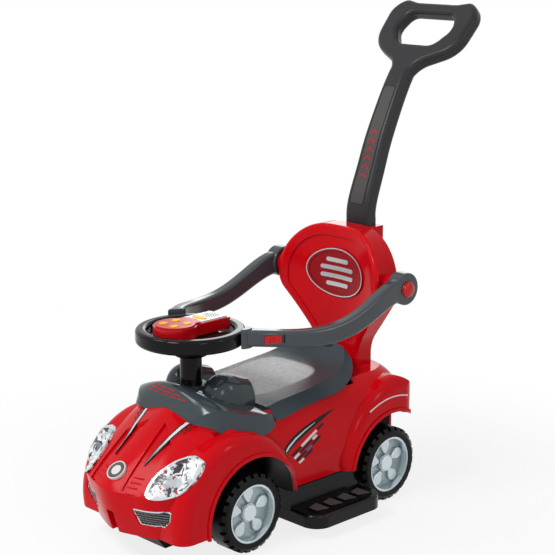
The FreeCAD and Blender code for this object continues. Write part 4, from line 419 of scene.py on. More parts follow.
for side, sign in SIDES.items():
    inward = (0, -sign, 0)
    inner = [(x, y - w) for (x, y), w in zip(STREAK_INNER, STREAK_BORDER)]
    outer = [(x, y + w) for (x, y), w in zip(STREAK_OUTER, STREAK_BORDER)]
    lines = [seen_from_above(line, sign) for line in (inner, STREAK_INNER, STREAK_OUTER, outer)]
    (front_x, front_y), (rear_x, rear_y) = STREAK_OUTER[0], STREAK_OUTER[-1]
    taut = Vector((rear_x - front_x, sign * (rear_y - front_y), 0)).normalized()
    pressed_on(f"hood_streak_{side}", "body_shell", band(lines[1], lines[2]), DOWN, foil_streak, taut=taut)
    edges = band(lines[0], lines[1]) + band(lines[2], lines[3])
    pressed_on(f"hood_streak_edge_{side}", "body_shell", edges, DOWN, foil_black, taut=taut)
    checks = []
    for i in range(FADE_COUNT):
        for row in range(FADE_ROWS):
            if (i + row) % 2 or row * 2 > i + 1:
                continue
            share, step = i / FADE_COUNT, 1 / FADE_COUNT
            size = FADE_SIZE + FADE_SIZE_GROWTH * share
            fill = FADE_FILL + FADE_FILL_GROWTH * share
            corners = []
            for k, j in ((0, 0), (1, 0), (1, 1), (0, 1)):
                way = share + k * step * fill
                x = FADE_START[0] + way * (FADE_END[0] - FADE_START[0])
                y = FADE_START[1] + way * (FADE_END[1] - FADE_START[1])
                corners.append((x, y + (row + j) * size + FADE_GAP))
            checks.append(seen_from_above(corners, sign))
    pressed_on(f"hood_fade_{side}", "body_shell", checks, DOWN, foil_black, net=FINE_NET)
    blade = band(seen_from_side(SIDE_BLADE_TOP, sign), seen_from_side(SIDE_BLADE_LOW, sign))
    pressed_on(f"side_blade_{side}", "body_shell", blade, inward, foil_black)
    shine = band(seen_from_side(SIDE_SHINE_TOP, sign), seen_from_side(SIDE_SHINE_LOW, sign))
    pressed_on(f"side_shine_{side}", "body_shell", shine, inward, foil_silver, lift=2 * FOIL_LIFT)
    dashes = {tone: [] for tone in DASH_FOILS}
    for row, runs in enumerate(DASH_RUNS):
        for first, last, tone in runs:
            corners = []
            for along, across in ((first, 0), (last, 0), (last + DASH_LEAN, 1), (first + DASH_LEAN, 1)):
                drop = row * DASH_PITCH + across * DASH_WIDTH
                x = DASH_START[0] + along * DASH_WAY[0] + drop * DASH_DROP[0]
                z = DASH_START[1] + along * DASH_WAY[1] + drop * DASH_DROP[1]
                corners.append((x, z))
            dashes[tone].append(seen_from_side(corners, sign))
    for tone, foil in DASH_FOILS.items():
        pressed_on(f"side_dashes_{tone}_{side}", "body_shell", dashes[tone], inward, foil)
    first, last = PIN_ANGLES
    turns = [math.radians(first + i * (last - first) / PIN_STEPS) for i in range(PIN_STEPS + 1)]
    arcs = [seen_from_side(arc(ARCH_CENTRE, (radius, radius), turns), sign) for radius in PIN_RADII]
    pressed_on(f"arch_pinstripe_{side}", "body_shell", band(*arcs), inward, foil_white)
    ribs = []
    for z in RIB_HEIGHTS:
        starts = seen_from_front([(y, z) for y in RIB_SPAN], sign)
        first, last = [body_surface.ray_cast(Vector(start), Vector(REARWARD))[0] for start in starts]
        ribs.append(((first + last) / 2, (last - first).normalized()))
    grown(f"hood_ribs_{side}", rods, ribs, RIB_SIZES, body_gloss, "car")

# Head lamps: clear caps over chromed reflectors whose reflections are painted on, pressed into the shell.
# A chromed bezel runs round each leaf-shaped cap.
LAMP_INNER = Vector((0.08, 0.147))
LAMP_OUTER = Vector((0.138, 0.2))
LAMP_BELLY = 0.03
LAMP_WARP = (0.05, 0.05, 0.05)
BEZEL_INSETS = (0.0006, 0.003)
BEZEL_LIFT = 0.0009
# Painted reflections: the scale of the facets and the patches of reflected colour they show.
LAMP_REFLECTIONS = (
    (75, (
        (0, (0.82, 0.84, 0.86)), (0.42, (0.5, 0.53, 0.56)), (0.6, (0.78, 0.79, 0.8)),
        (0.72, (0.2, 0.22, 0.25)), (0.84, (0.035, 0.038, 0.045)),
    )),
    (150, (
        (0, (1, 1, 1)), (0.5, (0.72, 0.74, 0.76)), (0.74, (1, 1, 1)),
        (0.84, (0.08, 0.085, 0.1)), (0.91, (0.9, 0.9, 0.9)), (0.95, (0.5, 0.06, 0.07)),
    )),
)


def painted_reflector():
    """Painted reflections in chromed facets: white, grey and dark patches and a little red of the shell.
    """
    material = moulded(
        "lamp_painted_reflections", (0.8, 0.8, 0.8), (0.7, 0.7, 0.7), roughness=0.1, grain=(220, 0.0006), gloss=0.5
    )
    nodes, links = material.node_tree.nodes, material.node_tree.links
    place = next(n for n in nodes if n.bl_idname == "ShaderNodeTexCoord")
    warp = nodes.new("ShaderNodeTexNoise")
    warp.inputs["Scale"].default_value = 45
    warp.inputs["Detail"].default_value = 3
    links.new(place.outputs["Object"], warp.inputs["Vector"])
    shift = nodes.new("ShaderNodeVectorMath")
    shift.operation = "MULTIPLY_ADD"
    shift.inputs[1].default_value = LAMP_WARP
    links.new(warp.outputs["Color"], shift.inputs[0])
    links.new(place.outputs["Object"], shift.inputs[2])
    tones = []
    for scale, stops in LAMP_REFLECTIONS:
        facets = nodes.new("ShaderNodeTexVoronoi")
        facets.inputs["Scale"].default_value = scale
        links.new(shift.outputs["Vector"], facets.inputs["Vector"])
        pick = nodes.new("ShaderNodeSeparateColor")
        links.new(facets.outputs["Color"], pick.inputs["Color"])
        ramp = nodes.new("ShaderNodeValToRGB")
        ramp.color_ramp.interpolation = "CONSTANT"
        while len(ramp.color_ramp.elements) < len(stops):
            ramp.color_ramp.elements.new(1)
        for stop, (at, colour) in zip(ramp.color_ramp.elements, stops):
            stop.position = at
            stop.color = (*colour, 1)
        links.new(pick.outputs["Red"], ramp.inputs["Fac"])
        tones.append(ramp.outputs["Color"])
    both_scales = nodes.new("ShaderNodeMix")
    both_scales.data_type = "RGBA"
    both_scales.blend_type = "MULTIPLY"
    both_scales.inputs["Factor"].default_value = 1
    links.new(tones[0], both_scales.inputs["A"])
    links.new(tones[1], both_scales.inputs["B"])
    links.new(both_scales.outputs["Result"], nodes["Principled BSDF"].inputs["Base Color"])
    return material


def leaf(inset, count=24):
    """The lamp's outline in front view, shrunk by an inset."""
    along = (LAMP_OUTER - LAMP_INNER).normalized()
    across = Vector((-along.y, along.x))
    start, end = LAMP_INNER + along * inset * 2, LAMP_OUTER - along * inset * 2
    half, belly = (end - start).length / 2, LAMP_BELLY - inset
    radius = (half**2 + belly**2) / (2 * belly)
    swing = math.asin(half / radius)
    middle = (start + end) / 2
    points = []
    for bend in (1, -1):
        for i in range(count):
            turn = bend * (-swing + 2 * swing * i / count)
            rise = radius * math.cos(turn) - (radius - belly)
            points.append(middle + along * radius * math.sin(turn) + across * bend * rise)
    return points


lamp_chrome = moulded(
    "lamp_chrome", (0.75, 0.77, 0.79), (0.6, 0.62, 0.64), roughness=0.14, grain=FINE_GRAIN, metallic=1
)
dress(painted_reflector(), *both("head_lamp"))
for side, sign in SIDES.items():
    bezel = ring_band(*[seen_from_front(leaf(inset), sign) for inset in BEZEL_INSETS])
    pressed_on(f"lamp_bezel_{side}", f"head_lamp_{side}", bezel, REARWARD, lamp_chrome, lift=BEZEL_LIFT)

# Fog grilles: dark slotted inserts in the bumper, each with a bright frame.
# The frames are chromed strips round the slots, and grey bars cross them to make a mesh.
FOG_OUTLINE = ((0.059, 0.085), (0.101, 0.085), (0.117, 0.101), (0.117, 0.117), (0.051, 0.117))
FOG_INSET = ((0.0613, 0.0882), (0.0997, 0.0882), (0.1138, 0.1023), (0.1138, 0.1138), (0.0553, 0.1138))
FOG_BARS = (0.0928, 0.0974, 0.102, 0.1066, 0.1112)
FOG_BAR_HALF = 0.0006
bar_grey = moulded(
    "bar_grey", (0.2, 0.2, 0.205), (0.16, 0.16, 0.165), roughness=0.3, grain=FINE_GRAIN, gloss=0.4
)
grille_dark = moulded(
    "grille_dark", (0.04, 0.04, 0.043), (0.065, 0.065, 0.068),
    roughness=0.32, grain=(900, 0.00005), gloss=0.3,
)
dress(grille_dark, *both("fog_grille"))
for side, sign in SIDES.items():
    grille = f"fog_grille_{side}"
    rim = ring_band(seen_from_front(FOG_OUTLINE, sign), seen_from_front(FOG_INSET, sign))
    pressed_on(f"fog_frame_{side}", grille, rim, REARWARD, lamp_chrome, net=FINE_NET)
    (low_y, low_z), (turn_y, turn_z), (far_y, far_z), _, (near_y, near_z) = FOG_INSET
    bars = []
    for z in FOG_BARS:
        first = low_y + (near_y - low_y) * (z - low_z) / (near_z - low_z)
        last = min(far_y, turn_y + (far_y - turn_y) * (z - turn_z) / (far_z - turn_z))
        foot, top = z - FOG_BAR_HALF, z + FOG_BAR_HALF
        bars.append(seen_from_front(((first, foot), (last, foot), (last, top), (first, top)), sign))
    pressed_on(f"fog_bars_{side}", grille, bars, REARWARD, bar_grey, net=FINE_NET, taut=Vector((0, 1, 0)))

# Nose badge: a blank round plate on the hood, domed and pale inside a dark ring with a silver rim.
# It is one moulding, printed and then pressed on.
BADGE_RADII = (0.0098, 0.0165)
BADGE_TONES = ((0.7, 0.68, 0.66), (0.1, 0.085, 0.08), (0.62, 0.62, 0.62))
PRINT_ROUGHNESS = 0.22
PROBE_REACH = 0.05


def ringed(name, centre, radii, colours):
    """A printed plate whose colour steps outwards from its middle."""
    reach = 2 * radii[-1]
    material = moulded(name, colours[0], colours[0], roughness=PRINT_ROUGHNESS, grain=FINE_GRAIN)
    nodes, links = material.node_tree.nodes, material.node_tree.links
    place = next(n for n in nodes if n.bl_idname == "ShaderNodeTexCoord")
    away = nodes.new("ShaderNodeVectorMath")
    away.operation = "DISTANCE"
    away.inputs[1].default_value = centre
    links.new(place.outputs["Object"], away.inputs[0])
    ramp = nodes.new("ShaderNodeValToRGB")
    ramp.color_ramp.interpolation = "CONSTANT"
    while len(ramp.color_ramp.elements) < len(colours):
        ramp.color_ramp.elements.new(1)
    scale = nodes.new("ShaderNodeMath")
    scale.operation = "MULTIPLY"
    scale.inputs[1].default_value = 1 / reach
    links.new(away.outputs["Value"], scale.inputs[0])
    for stop, radius, colour in zip(ramp.color_ramp.elements, (0, *radii), colours):
        stop.position = radius / reach
        stop.color = (*colour, 1)
    links.new(scale.outputs["Value"], ramp.inputs["Fac"])
    links.new(ramp.outputs["Color"], nodes["Principled BSDF"].inputs["Base Color"])
    return material


low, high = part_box("nose_badge")
badge_centre = (Vector(low) + Vector(high)) / 2
badge_normal = body_surface.find_nearest(badge_centre)[1]
badge_centre = carried("nose_badge").ray_cast(badge_centre + badge_normal * PROBE_REACH, -badge_normal)[0]
dress(ringed("badge_print", badge_centre, BADGE_RADII, BADGE_TONES), "nose_badge")

# Footboards: black steps under both doors, glossy, with raised pads in a row.
# Each is one moulding, screwed to the chassis from below.
PAD_COUNT = 4
PAD_PITCH = 0.0374
PAD_REAR = -0.072
PAD_MIDDLE = 0.162
PAD_HALF = (0.0128, 0.0172)
PAD_LEAN = 0.0068
footboard_plastic = moulded(
    "footboard_plastic", (0.0035, 0.0035, 0.0038), (0.006, 0.006, 0.0063),
    roughness=0.16, grain=(800, 0.00008), gloss=0.18,
)
dress(footboard_plastic, *both("footboard"))
# The pads are black like the step: their paler, reddish colour is painted reflection of light and of the
# red shell.
grip_plastic_painted_reflection = moulded(
    "grip_plastic_painted_reflection", (0.05, 0.043, 0.043), (0.1, 0.088, 0.086),
    roughness=0.3, grain=(420, 0.0003), gloss=0.35,
)
for side, sign in SIDES.items():
    grips = []
    for i in range(PAD_COUNT):
        x = PAD_REAR + (i + 1) * PAD_PITCH
        wide, narrow = PAD_HALF[1], PAD_HALF[1] - PAD_LEAN
        grip = [(x - PAD_HALF[0], PAD_MIDDLE - wide), (x + PAD_HALF[0], PAD_MIDDLE - narrow)]
        grip += [(x + PAD_HALF[0], PAD_MIDDLE + narrow), (x - PAD_HALF[0], PAD_MIDDLE + wide)]
        grips.append(seen_from_above(grip, sign))
    pressed_on(f"footboard_grips_{side}", f"footboard_{side}", grips, DOWN, grip_plastic_painted_reflection)

# Cowl: the slate grey cap with two humps in front of the seat, snapped into the shell.
# A patch of red dashes is printed on its front, and a red lip closes the gap under its edge.
SLATE = (0.042, 0.057, 0.066)
SLATE_SHADE = (0.035, 0.048, 0.056)
slate_gloss = moulded("slate_gloss", SLATE, SLATE_SHADE, roughness=0.13, grain=(700, 0.00004), gloss=0.3)
dress(slate_gloss, "cowl")
SEAL_LINE = (
    (0.2985, 0.06, 0.2465), (0.2985, 0.0825, 0.2465), (0.2935, 0.0935, 0.2464), (0.2885, 0.0995, 0.2444),
    (0.2835, 0.1042, 0.2413), (0.2787, 0.1082, 0.2375), (0.2738, 0.1115, 0.2335), (0.2688, 0.1135, 0.2335),
)
SEAL_FOOT = 0.221
SEAL_WALL = 0.0016
for side, sign in SIDES.items():
    rows = []
    for x, y, z in SEAL_LINE:
        out, back, inner = sign * y, x - SEAL_WALL, sign * (y - SEAL_WALL)
        rows.append([(x, out, z), (x, out, SEAL_FOOT), (back, inner, SEAL_FOOT), (back, inner, z)])
    wall = bmesh.new()
    rings = [[wall.verts.new(point) for point in row] for row in rows]
    for one, other in zip(rings, rings[1:]):
        for i in range(len(one)):
            wall.faces.new([one[i], one[i - 1], other[i - 1], other[i]])
    wall.faces.new(rings[0])
    wall.faces.new(rings[-1])
    bmesh.ops.recalc_face_normals(wall, faces=wall.faces)
    mesh = bpy.data.meshes.new(f"cowl_seal_{side}")
    wall.to_mesh(mesh)
    wall.free()
    add_piece(f"cowl_seal_{side}", mesh, body_gloss, "car")
print_red = moulded(
    "print_red", (0.42, 0.02, 0.025), (0.3, 0.02, 0.025), roughness=0.35, grain=FINE_GRAIN
)
COWL_DASH_ROWS = 3
COWL_DASH_COUNT = 5
COWL_DASH_START = (-0.066, 0.2795)
COWL_DASH_PITCH = (0.0225, 0.0052)
COWL_DASH_SIZE = (0.0185, 0.0022)
COWL_DASH_SHIFT = 0.007
COWL_DASH_LEAN = 0.0015
cowl_dashes = []
for row in range(COWL_DASH_ROWS):
    for i in range(COWL_DASH_COUNT - row):
        y = COWL_DASH_START[0] + COWL_DASH_PITCH[0] * i + COWL_DASH_SHIFT * row
        z = COWL_DASH_START[1] + COWL_DASH_PITCH[1] * row
        end, top = y + COWL_DASH_SIZE[0], z + COWL_DASH_SIZE[1]
        corners = ((y, z), (end, z), (end + COWL_DASH_LEAN, top), (y + COWL_DASH_LEAN, top))
        cowl_dashes.append(seen_from_front(corners))
pressed_on("cowl_dashes", "cowl", cowl_dashes, REARWARD, print_red, net=FINE_NET)

# Seat lid: the same grey, hinged at its front edge over the storage box.
# Its middle is finely grained where a child sits and carries a pale painted sheen; its border is polished.
SEAT_SHEEN_MIDDLE = (0.052, -0.012, 0.26)
SEAT_SHEEN_PATCH = (0.09, 0.08, 1.0)
SEAT_SHEEN_EDGE = (1.0, 0.7)
SEAT_BRUSH = (90, 420, 200)
SEAT_SHEEN_DARK = (0.06, 0.067, 0.072)
SEAT_SHEEN_PALE = (0.78, 0.82, 0.84)
SEAT_MATTING = 0.22


def grained_seat_painted_sheen():
    """Slate plastic with a grained patch whose pale painted sheen fades out towards the border."""
    material = moulded("seat_grain_painted_sheen", SLATE, SLATE_SHADE, roughness=0.18, grain=(1300, 0.0002))
    nodes, links = material.node_tree.nodes, material.node_tree.links
    shader = nodes["Principled BSDF"]
    place = next(n for n in nodes if n.bl_idname == "ShaderNodeTexCoord")
    centre = nodes.new("ShaderNodeMapping")
    centre.vector_type = "TEXTURE"
    centre.inputs["Location"].default_value = SEAT_SHEEN_MIDDLE
    centre.inputs["Scale"].default_value = SEAT_SHEEN_PATCH
    links.new(place.outputs["Object"], centre.inputs["Vector"])
    power = centre.outputs["Vector"]
    for _ in range(2):
        square = nodes.new("ShaderNodeVectorMath")
        square.operation = "MULTIPLY"
        links.new(power, square.inputs[0])
        links.new(power, square.inputs[1])
        power = square.outputs["Vector"]
    away = nodes.new("ShaderNodeVectorMath")
    away.operation = "DOT_PRODUCT"
    away.inputs[1].default_value = (1, 1, 0)
    links.new(power, away.inputs[0])
    patch = nodes.new("ShaderNodeMapRange")
    patch.inputs["From Min"].default_value = SEAT_SHEEN_EDGE[0]
    patch.inputs["From Max"].default_value = SEAT_SHEEN_EDGE[1]
    links.new(away.outputs["Value"], patch.inputs["Value"])
    drawn = nodes.new("ShaderNodeMapping")
    drawn.inputs["Scale"].default_value = SEAT_BRUSH
    links.new(place.outputs["Object"], drawn.inputs["Vector"])
    speck = nodes.new("ShaderNodeTexNoise")
    speck.inputs["Scale"].default_value = 1
    speck.inputs["Detail"].default_value = 6
    speck.inputs["Roughness"].default_value = 0.7
    links.new(drawn.outputs["Vector"], speck.inputs["Vector"])
    # Painted sheen: pale and dark specks of the grain that lighten the patch.
    pale = nodes.new("ShaderNodeMix")
    pale.data_type = "RGBA"
    pale.inputs["A"].default_value = (*SEAT_SHEEN_DARK, 1)
    pale.inputs["B"].default_value = (*SEAT_SHEEN_PALE, 1)
    links.new(speck.outputs["Fac"], pale.inputs["Factor"])
    tint = nodes.new("ShaderNodeMix")
    tint.data_type = "RGBA"
    links.new(patch.outputs["Result"], tint.inputs["Factor"])
    links.new(shader.inputs["Base Color"].links[0].from_socket, tint.inputs["A"])
    links.new(pale.outputs["Result"], tint.inputs["B"])
    links.new(tint.outputs["Result"], shader.inputs["Base Color"])
    matt = nodes.new("ShaderNodeMath")
    matt.operation = "MULTIPLY_ADD"
    matt.inputs[1].default_value = SEAT_MATTING
    links.new(patch.outputs["Result"], matt.inputs[0])
    links.new(shader.inputs["Roughness"].links[0].from_socket, matt.inputs[2])
    links.new(matt.outputs["Value"], shader.inputs["Roughness"])
    return material


dress(grained_seat_painted_sheen(), "seat_lid")

# Backrest: two red shells screwed together round the handle's socket, with an oval plate.
# The plate is a darker red, with level silver bars like a vent's, inside a thin silver oval line.
dress(body_gloss, "backrest_front", "backrest_rear_cover")
oval_red = moulded(
    "oval_red", (0.33, 0.005, 0.01), (0.25, 0.004, 0.008), roughness=0.3, grain=(700, 0.00005)
)
dress(oval_red, "backrest_badge", "backrest_badge_rim")
OVAL_AHEAD = 0.2
OVAL_LINE = ((0.0752, 0.0482), (0.0732, 0.0462))
OVAL_LINE_STEPS = 72
OVAL_LINE_LIFT = 0.0006
OVAL_LINE_NET = 0.02
OVAL_BARS = ((-0.024, 0.029), (-0.008, 0.043), (0.008, 0.043), (0.024, 0.029))
OVAL_BAR_HALF = 0.0042
OVAL_BAR_STEPS = 12
OVAL_BAR_LIFT = 0.0014
low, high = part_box("backrest_badge")
oval_z = (low[2] + high[2]) / 2
bars = []
for rise, reach in OVAL_BARS:
    ends = []
    for end in (1, -1):
        for i in range(OVAL_BAR_STEPS + 1):
            turn = math.pi * (i / OVAL_BAR_STEPS - 0.5)
            y = end * (reach - OVAL_BAR_HALF + OVAL_BAR_HALF * math.cos(turn))
            ends.append((y, oval_z + rise + end * OVAL_BAR_HALF * math.sin(turn)))
    bars.append(seen_from_front(ends, x=OVAL_AHEAD))
pressed_on("oval_bars", "backrest_badge", bars, REARWARD, foil_silver, lift=OVAL_BAR_LIFT)
turns = [math.tau * i / OVAL_LINE_STEPS for i in range(OVAL_LINE_STEPS)]
lines = [seen_from_front(arc((0, oval_z), radii, turns), x=OVAL_AHEAD) for radii in OVAL_LINE]
pressed_on(
    "oval_line", "backrest_badge_rim", ring_band(*lines), REARWARD, foil_silver,
    lift=OVAL_LINE_LIFT, net=OVAL_LINE_NET,
)
SCREW_SIZES = {"Head Radius": 0.0038, "Head Height": 0.0024, "Slot Width": 0.0012}
SLOT_RAISE = 0.6
COVER_SCREWS = ((0.078, 0.478), (0.108, 0.42), (0.078, 0.352), (0.045, 0.3))
COVER_BEHIND = -0.6
TUB_SCREWS = ((0.09, 0.07), (-0.04, 0.07), (0.33, 0.04), (-0.185, 0.04))
TUB_BELOW = -0.2


def screws_tree():
    """Pan heads with a cross recess, one on each point."""
    tree, given, out = tree_of("screws", ("Head Radius", "Head Height", "Slot Width"))
    head = tree.nodes.new("GeometryNodeMeshCylinder")
    head.inputs["Vertices"].default_value = 24
    tree.links.new(given.outputs["Head Radius"], head.inputs["Radius"])
    tree.links.new(given.outputs["Head Height"], head.inputs["Depth"])
    cutters = []
    for along in (0, 1):
        size = tree.nodes.new("ShaderNodeCombineXYZ")
        tree.links.new(given.outputs["Head Radius"], size.inputs[along])
        tree.links.new(given.outputs["Slot Width"], size.inputs[1 - along])
        tree.links.new(given.outputs["Head Height"], size.inputs["Z"])
        cube = tree.nodes.new("GeometryNodeMeshCube")
        tree.links.new(size.outputs["Vector"], cube.inputs["Size"])
        lift = tree.nodes.new("ShaderNodeCombineXYZ")
        tree.links.new(given.outputs["Head Height"], lift.inputs["Z"])
        move = tree.nodes.new("GeometryNodeTransform")
        tree.links.new(cube.outputs["Mesh"], move.inputs["Geometry"])
        raised = tree.nodes.new("ShaderNodeVectorMath")
        raised.operation = "SCALE"
        raised.inputs["Scale"].default_value = SLOT_RAISE
        tree.links.new(lift.outputs["Vector"], raised.inputs[0])
        tree.links.new(raised.outputs["Vector"], move.inputs["Translation"])
        cutters.append(move.outputs["Geometry"])
    recess = tree.nodes.new("GeometryNodeMeshBoolean")
    recess.operation = "DIFFERENCE"
    tree.links.new(head.outputs["Mesh"], recess.inputs["Mesh 1"])
    for cutter in cutters:
        tree.links.new(cutter, recess.inputs["Mesh 2"])
    set_on_spots(tree, given, out, recess.outputs["Mesh"])
    return tree


def screwed_into(name, carrier, starts, toward):
    """Screws in a CAD piece, where rays along one direction meet it."""
    surface = carried(carrier)
    places = []
    for start in starts:
        hit, normal, _, _ = surface.ray_cast(Vector(start), Vector(toward))
        if hit is not None:
            places.append((hit, normal))
    return grown(name, screws, places, SCREW_SIZES, screw_zinc, "car")


screws = screws_tree()
screw_zinc = moulded(
    "screw_zinc", ZINC, (0.4, 0.41, 0.42), roughness=0.3, grain=(1500, 0.00002), metallic=1
)
behind = [(COVER_BEHIND, sign * y, z) for y, z in COVER_SCREWS for sign in SIDES.values()]
screwed_into("backrest_screws", "backrest_rear_cover", behind, FORWARD)
below = [(x, sign * y, TUB_BELOW) for x, y in TUB_SCREWS for sign in SIDES.values()]
screwed_into("chassis_screws", "chassis", below, UP)

# Guard arms: grey bars that swing up from the backrest, on pins with red press buttons.
# The buttons are domed. Red ribbed latches slide along the arms' outer sides near the steering wheel.
arm_slate = moulded(
    "arm_slate", (0.054, 0.064, 0.073), (0.045, 0.054, 0.062),
    roughness=0.12, grain=(700, 0.00004), gloss=0.35,
)
dress(arm_slate, *both("guard_arm"))
button_red = moulded(
    "button_red", (0.56, 0.004, 0.009), (0.48, 0.003, 0.007),
    roughness=0.16, grain=(900, 0.00003), gloss=0.3,
)
dress(button_red, *both("guard_latch"), *both("pivot_button"))
LATCH_HEADING = Vector((0.871, -0.491, 0))
LATCH_RIBS = (-0.0085, 0, 0.0085)
LATCH_RIB_SIZES = {"Radius": 0.0021, "Length": 0.0122}
DOME_CENTRE = (-0.144, 0.433)
DOME_RADIUS = 0.0152
DOME_HEIGHT = 0.0062
DOME_SINK = 0.0004
DOME_RINGS = 8
DOME_SIDES = 40
for side, sign in SIDES.items():
    low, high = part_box(f"guard_latch_{side}")
    middle = (Vector(low) + Vector(high)) / 2
    heading = Vector((LATCH_HEADING.x, sign * LATCH_HEADING.y, 0))
    out = Vector((-LATCH_HEADING.y, sign * LATCH_HEADING.x, 0))
    surface = carried(f"guard_latch_{side}")
    ribs = []
    for along in LATCH_RIBS:
        hit = surface.ray_cast(middle + heading * along + out * PROBE_REACH, -out)[0]
        ribs.append((hit, UP))
    grown(f"latch_ribs_{side}", rods, ribs, LATCH_RIB_SIZES, button_red, f"latch_{side}")
    low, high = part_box(f"pivot_button_{side}")
    face_y = high[1] if sign > 0 else low[1]
    dome = bmesh.new()
    turns = [math.tau * i / DOME_SIDES for i in range(DOME_SIDES)]
    rings = []
    for ring in range(DOME_RINGS):
        lean = ring / DOME_RINGS * math.pi / 2
        radius = DOME_RADIUS * math.cos(lean)
        y = face_y + sign * (DOME_HEIGHT * math.sin(lean) - DOME_SINK)
        rings.append([dome.verts.new((x, y, z)) for x, z in arc(DOME_CENTRE, (radius, radius), turns)])
    for one, other in zip(rings, rings[1:]):
        for i in range(DOME_SIDES):
            dome.faces.new([one[i - 1], one[i], other[i], other[i - 1]])
    tip = dome.verts.new((DOME_CENTRE[0], face_y + sign * (DOME_HEIGHT - DOME_SINK), DOME_CENTRE[1]))
    for i in range(DOME_SIDES):
        dome.faces.new([rings[-1][i - 1], rings[-1][i], tip])
    dome.faces.new(rings[0])
    bmesh.ops.recalc_face_normals(dome, faces=dome.faces)
    for face in dome.faces:
        face.smooth = len(face.verts) < 5
    mesh = bpy.data.meshes.new(f"pivot_dome_{side}")
    dome.to_mesh(mesh)
    dome.free()
    add_piece(f"pivot_dome_{side}", mesh, button_red, f"pivot_press_{side}")

# Steering wheel: a chunky black ring on a column, with a red music panel on its hub.
# The panel's face is red round the yellow keys and white over the loudspeaker's holes.
wheel_black = moulded(
    "wheel_black", (0.003, 0.003, 0.0033), (0.005, 0.005, 0.0053),
    roughness=0.1, grain=(700, 0.00003), gloss=0.14,
)
dress(wheel_black, "steering_wheel", "steering_column")
dress(button_red, "panel_base")
ROUND_KEYS = range(1, 5)
corners = [Vector(corner) for i in ROUND_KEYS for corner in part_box(f"round_key_{i}")]
keys_middle = sum(corners, Vector()) / len(corners)
FACE_RED = (0.5, 0.005, 0.01)
FACE_WHITE = (0.78, 0.77, 0.76)
FACE_RADII = (0.0455, 0.2)
dress(ringed("face_print", keys_middle, FACE_RADII, (FACE_RED, FACE_WHITE, FACE_WHITE)), "panel_face")
key_yellow = moulded(
    "key_yellow", (0.92, 0.5, 0.012), (0.86, 0.4, 0.01), roughness=0.2, grain=(900, 0.00003), gloss=0.06
)
dress(key_yellow, "oval_key", *[f"round_key_{i}" for i in ROUND_KEYS])
# The loudspeaker's holes are not cut: thin black discs stand for them, their black painted shade.
SPEAKER_OFFSET = 0.051
HOLE_ROWS = 3
HOLE_PITCH = (0.0052, 0.0045)
HOLE_REACH = 0.0145
HOLE_SIZES = {"Radius": 0.0013, "Length": 0.0006}
low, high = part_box("panel_face")
face_middle = (Vector(low) + Vector(high)) / 2
away = (face_middle - keys_middle) * Vector((1, 1, 0))
speaker = face_middle + away.normalized() * SPEAKER_OFFSET
face_surface = carried("panel_face")
holes = []
for row in range(-HOLE_ROWS, HOLE_ROWS + 1):
    for column in range(-HOLE_ROWS, HOLE_ROWS + 1):
        shift = (row % 2) * HOLE_PITCH[0] / 2
        offset = Vector((column * HOLE_PITCH[0] + shift, row * HOLE_PITCH[1], 0))
        if offset.length < HOLE_REACH:
            over = speaker + offset + PROBE_REACH * Vector(UP)
            hit = face_surface.ray_cast(over, Vector(DOWN))[0]
            if hit is not None:
                holes.append((hit, UP))
grown("speaker_holes", rods, holes, HOLE_SIZES, foil_black, "steering")

# Push handle: a dark grey pole and loop, blow moulded in one, that slides into the backrest.
# A panel with a beaded edge is let into the pole's front and carries red chevrons.
HANDLE_GREY = (0.022, 0.0207, 0.0228)
handle_plastic = moulded(
    "handle_plastic", HANDLE_GREY, (0.028, 0.0263, 0.029),
    roughness=0.34, grain=(1100, 0.00008), gloss=0.2,
)
dress(handle_plastic, "push_handle")
dress(button_red, "handle_lock_button")
PANEL_LOW = 0.566
PANEL_HIGH = 0.792
PANEL_HALF_LOW = 0.0185
PANEL_HALF_HIGH = 0.0155
PANEL_CORNER = 0.006
PANEL_CORNER_STEPS = 6
PANEL_AHEAD = 0
BEAD_WIDTH = 0.0016
BEAD_LIFT = 0.0008
INLAY_LIFT = 0.0003
INLAY_NET = 0.004
panel_plastic = moulded(
    "panel_plastic", (0.042, 0.039, 0.038), (0.055, 0.052, 0.05),
    roughness=0.28, grain=(1100, 0.00006), gloss=0.32,
)
bead_black = moulded(
    "bead_black", (0.006, 0.006, 0.0065), (0.009, 0.009, 0.0095),
    roughness=0.25, grain=(900, 0.00003), gloss=0.3,
)


def panel_outline(inset):
    """The inlay's outline in front view, rounded at its four corners and shrunk by an inset."""
    corners = ((1, PANEL_LOW, 270), (1, PANEL_HIGH, 0), (-1, PANEL_HIGH, 90), (-1, PANEL_LOW, 180))
    points = []
    for side, z, start in corners:
        half = PANEL_HALF_LOW if z == PANEL_LOW else PANEL_HALF_HIGH
        middle_y = side * (half - PANEL_CORNER)
        middle_z = z + (PANEL_CORNER if z == PANEL_LOW else -PANEL_CORNER)
        radius = PANEL_CORNER - inset
        steps = range(PANEL_CORNER_STEPS + 1)
        turns = [math.radians(start + 90 * i / PANEL_CORNER_STEPS) for i in steps]
        points += arc((middle_y, middle_z), (radius, radius), turns)
    return seen_from_front(points, x=PANEL_AHEAD)


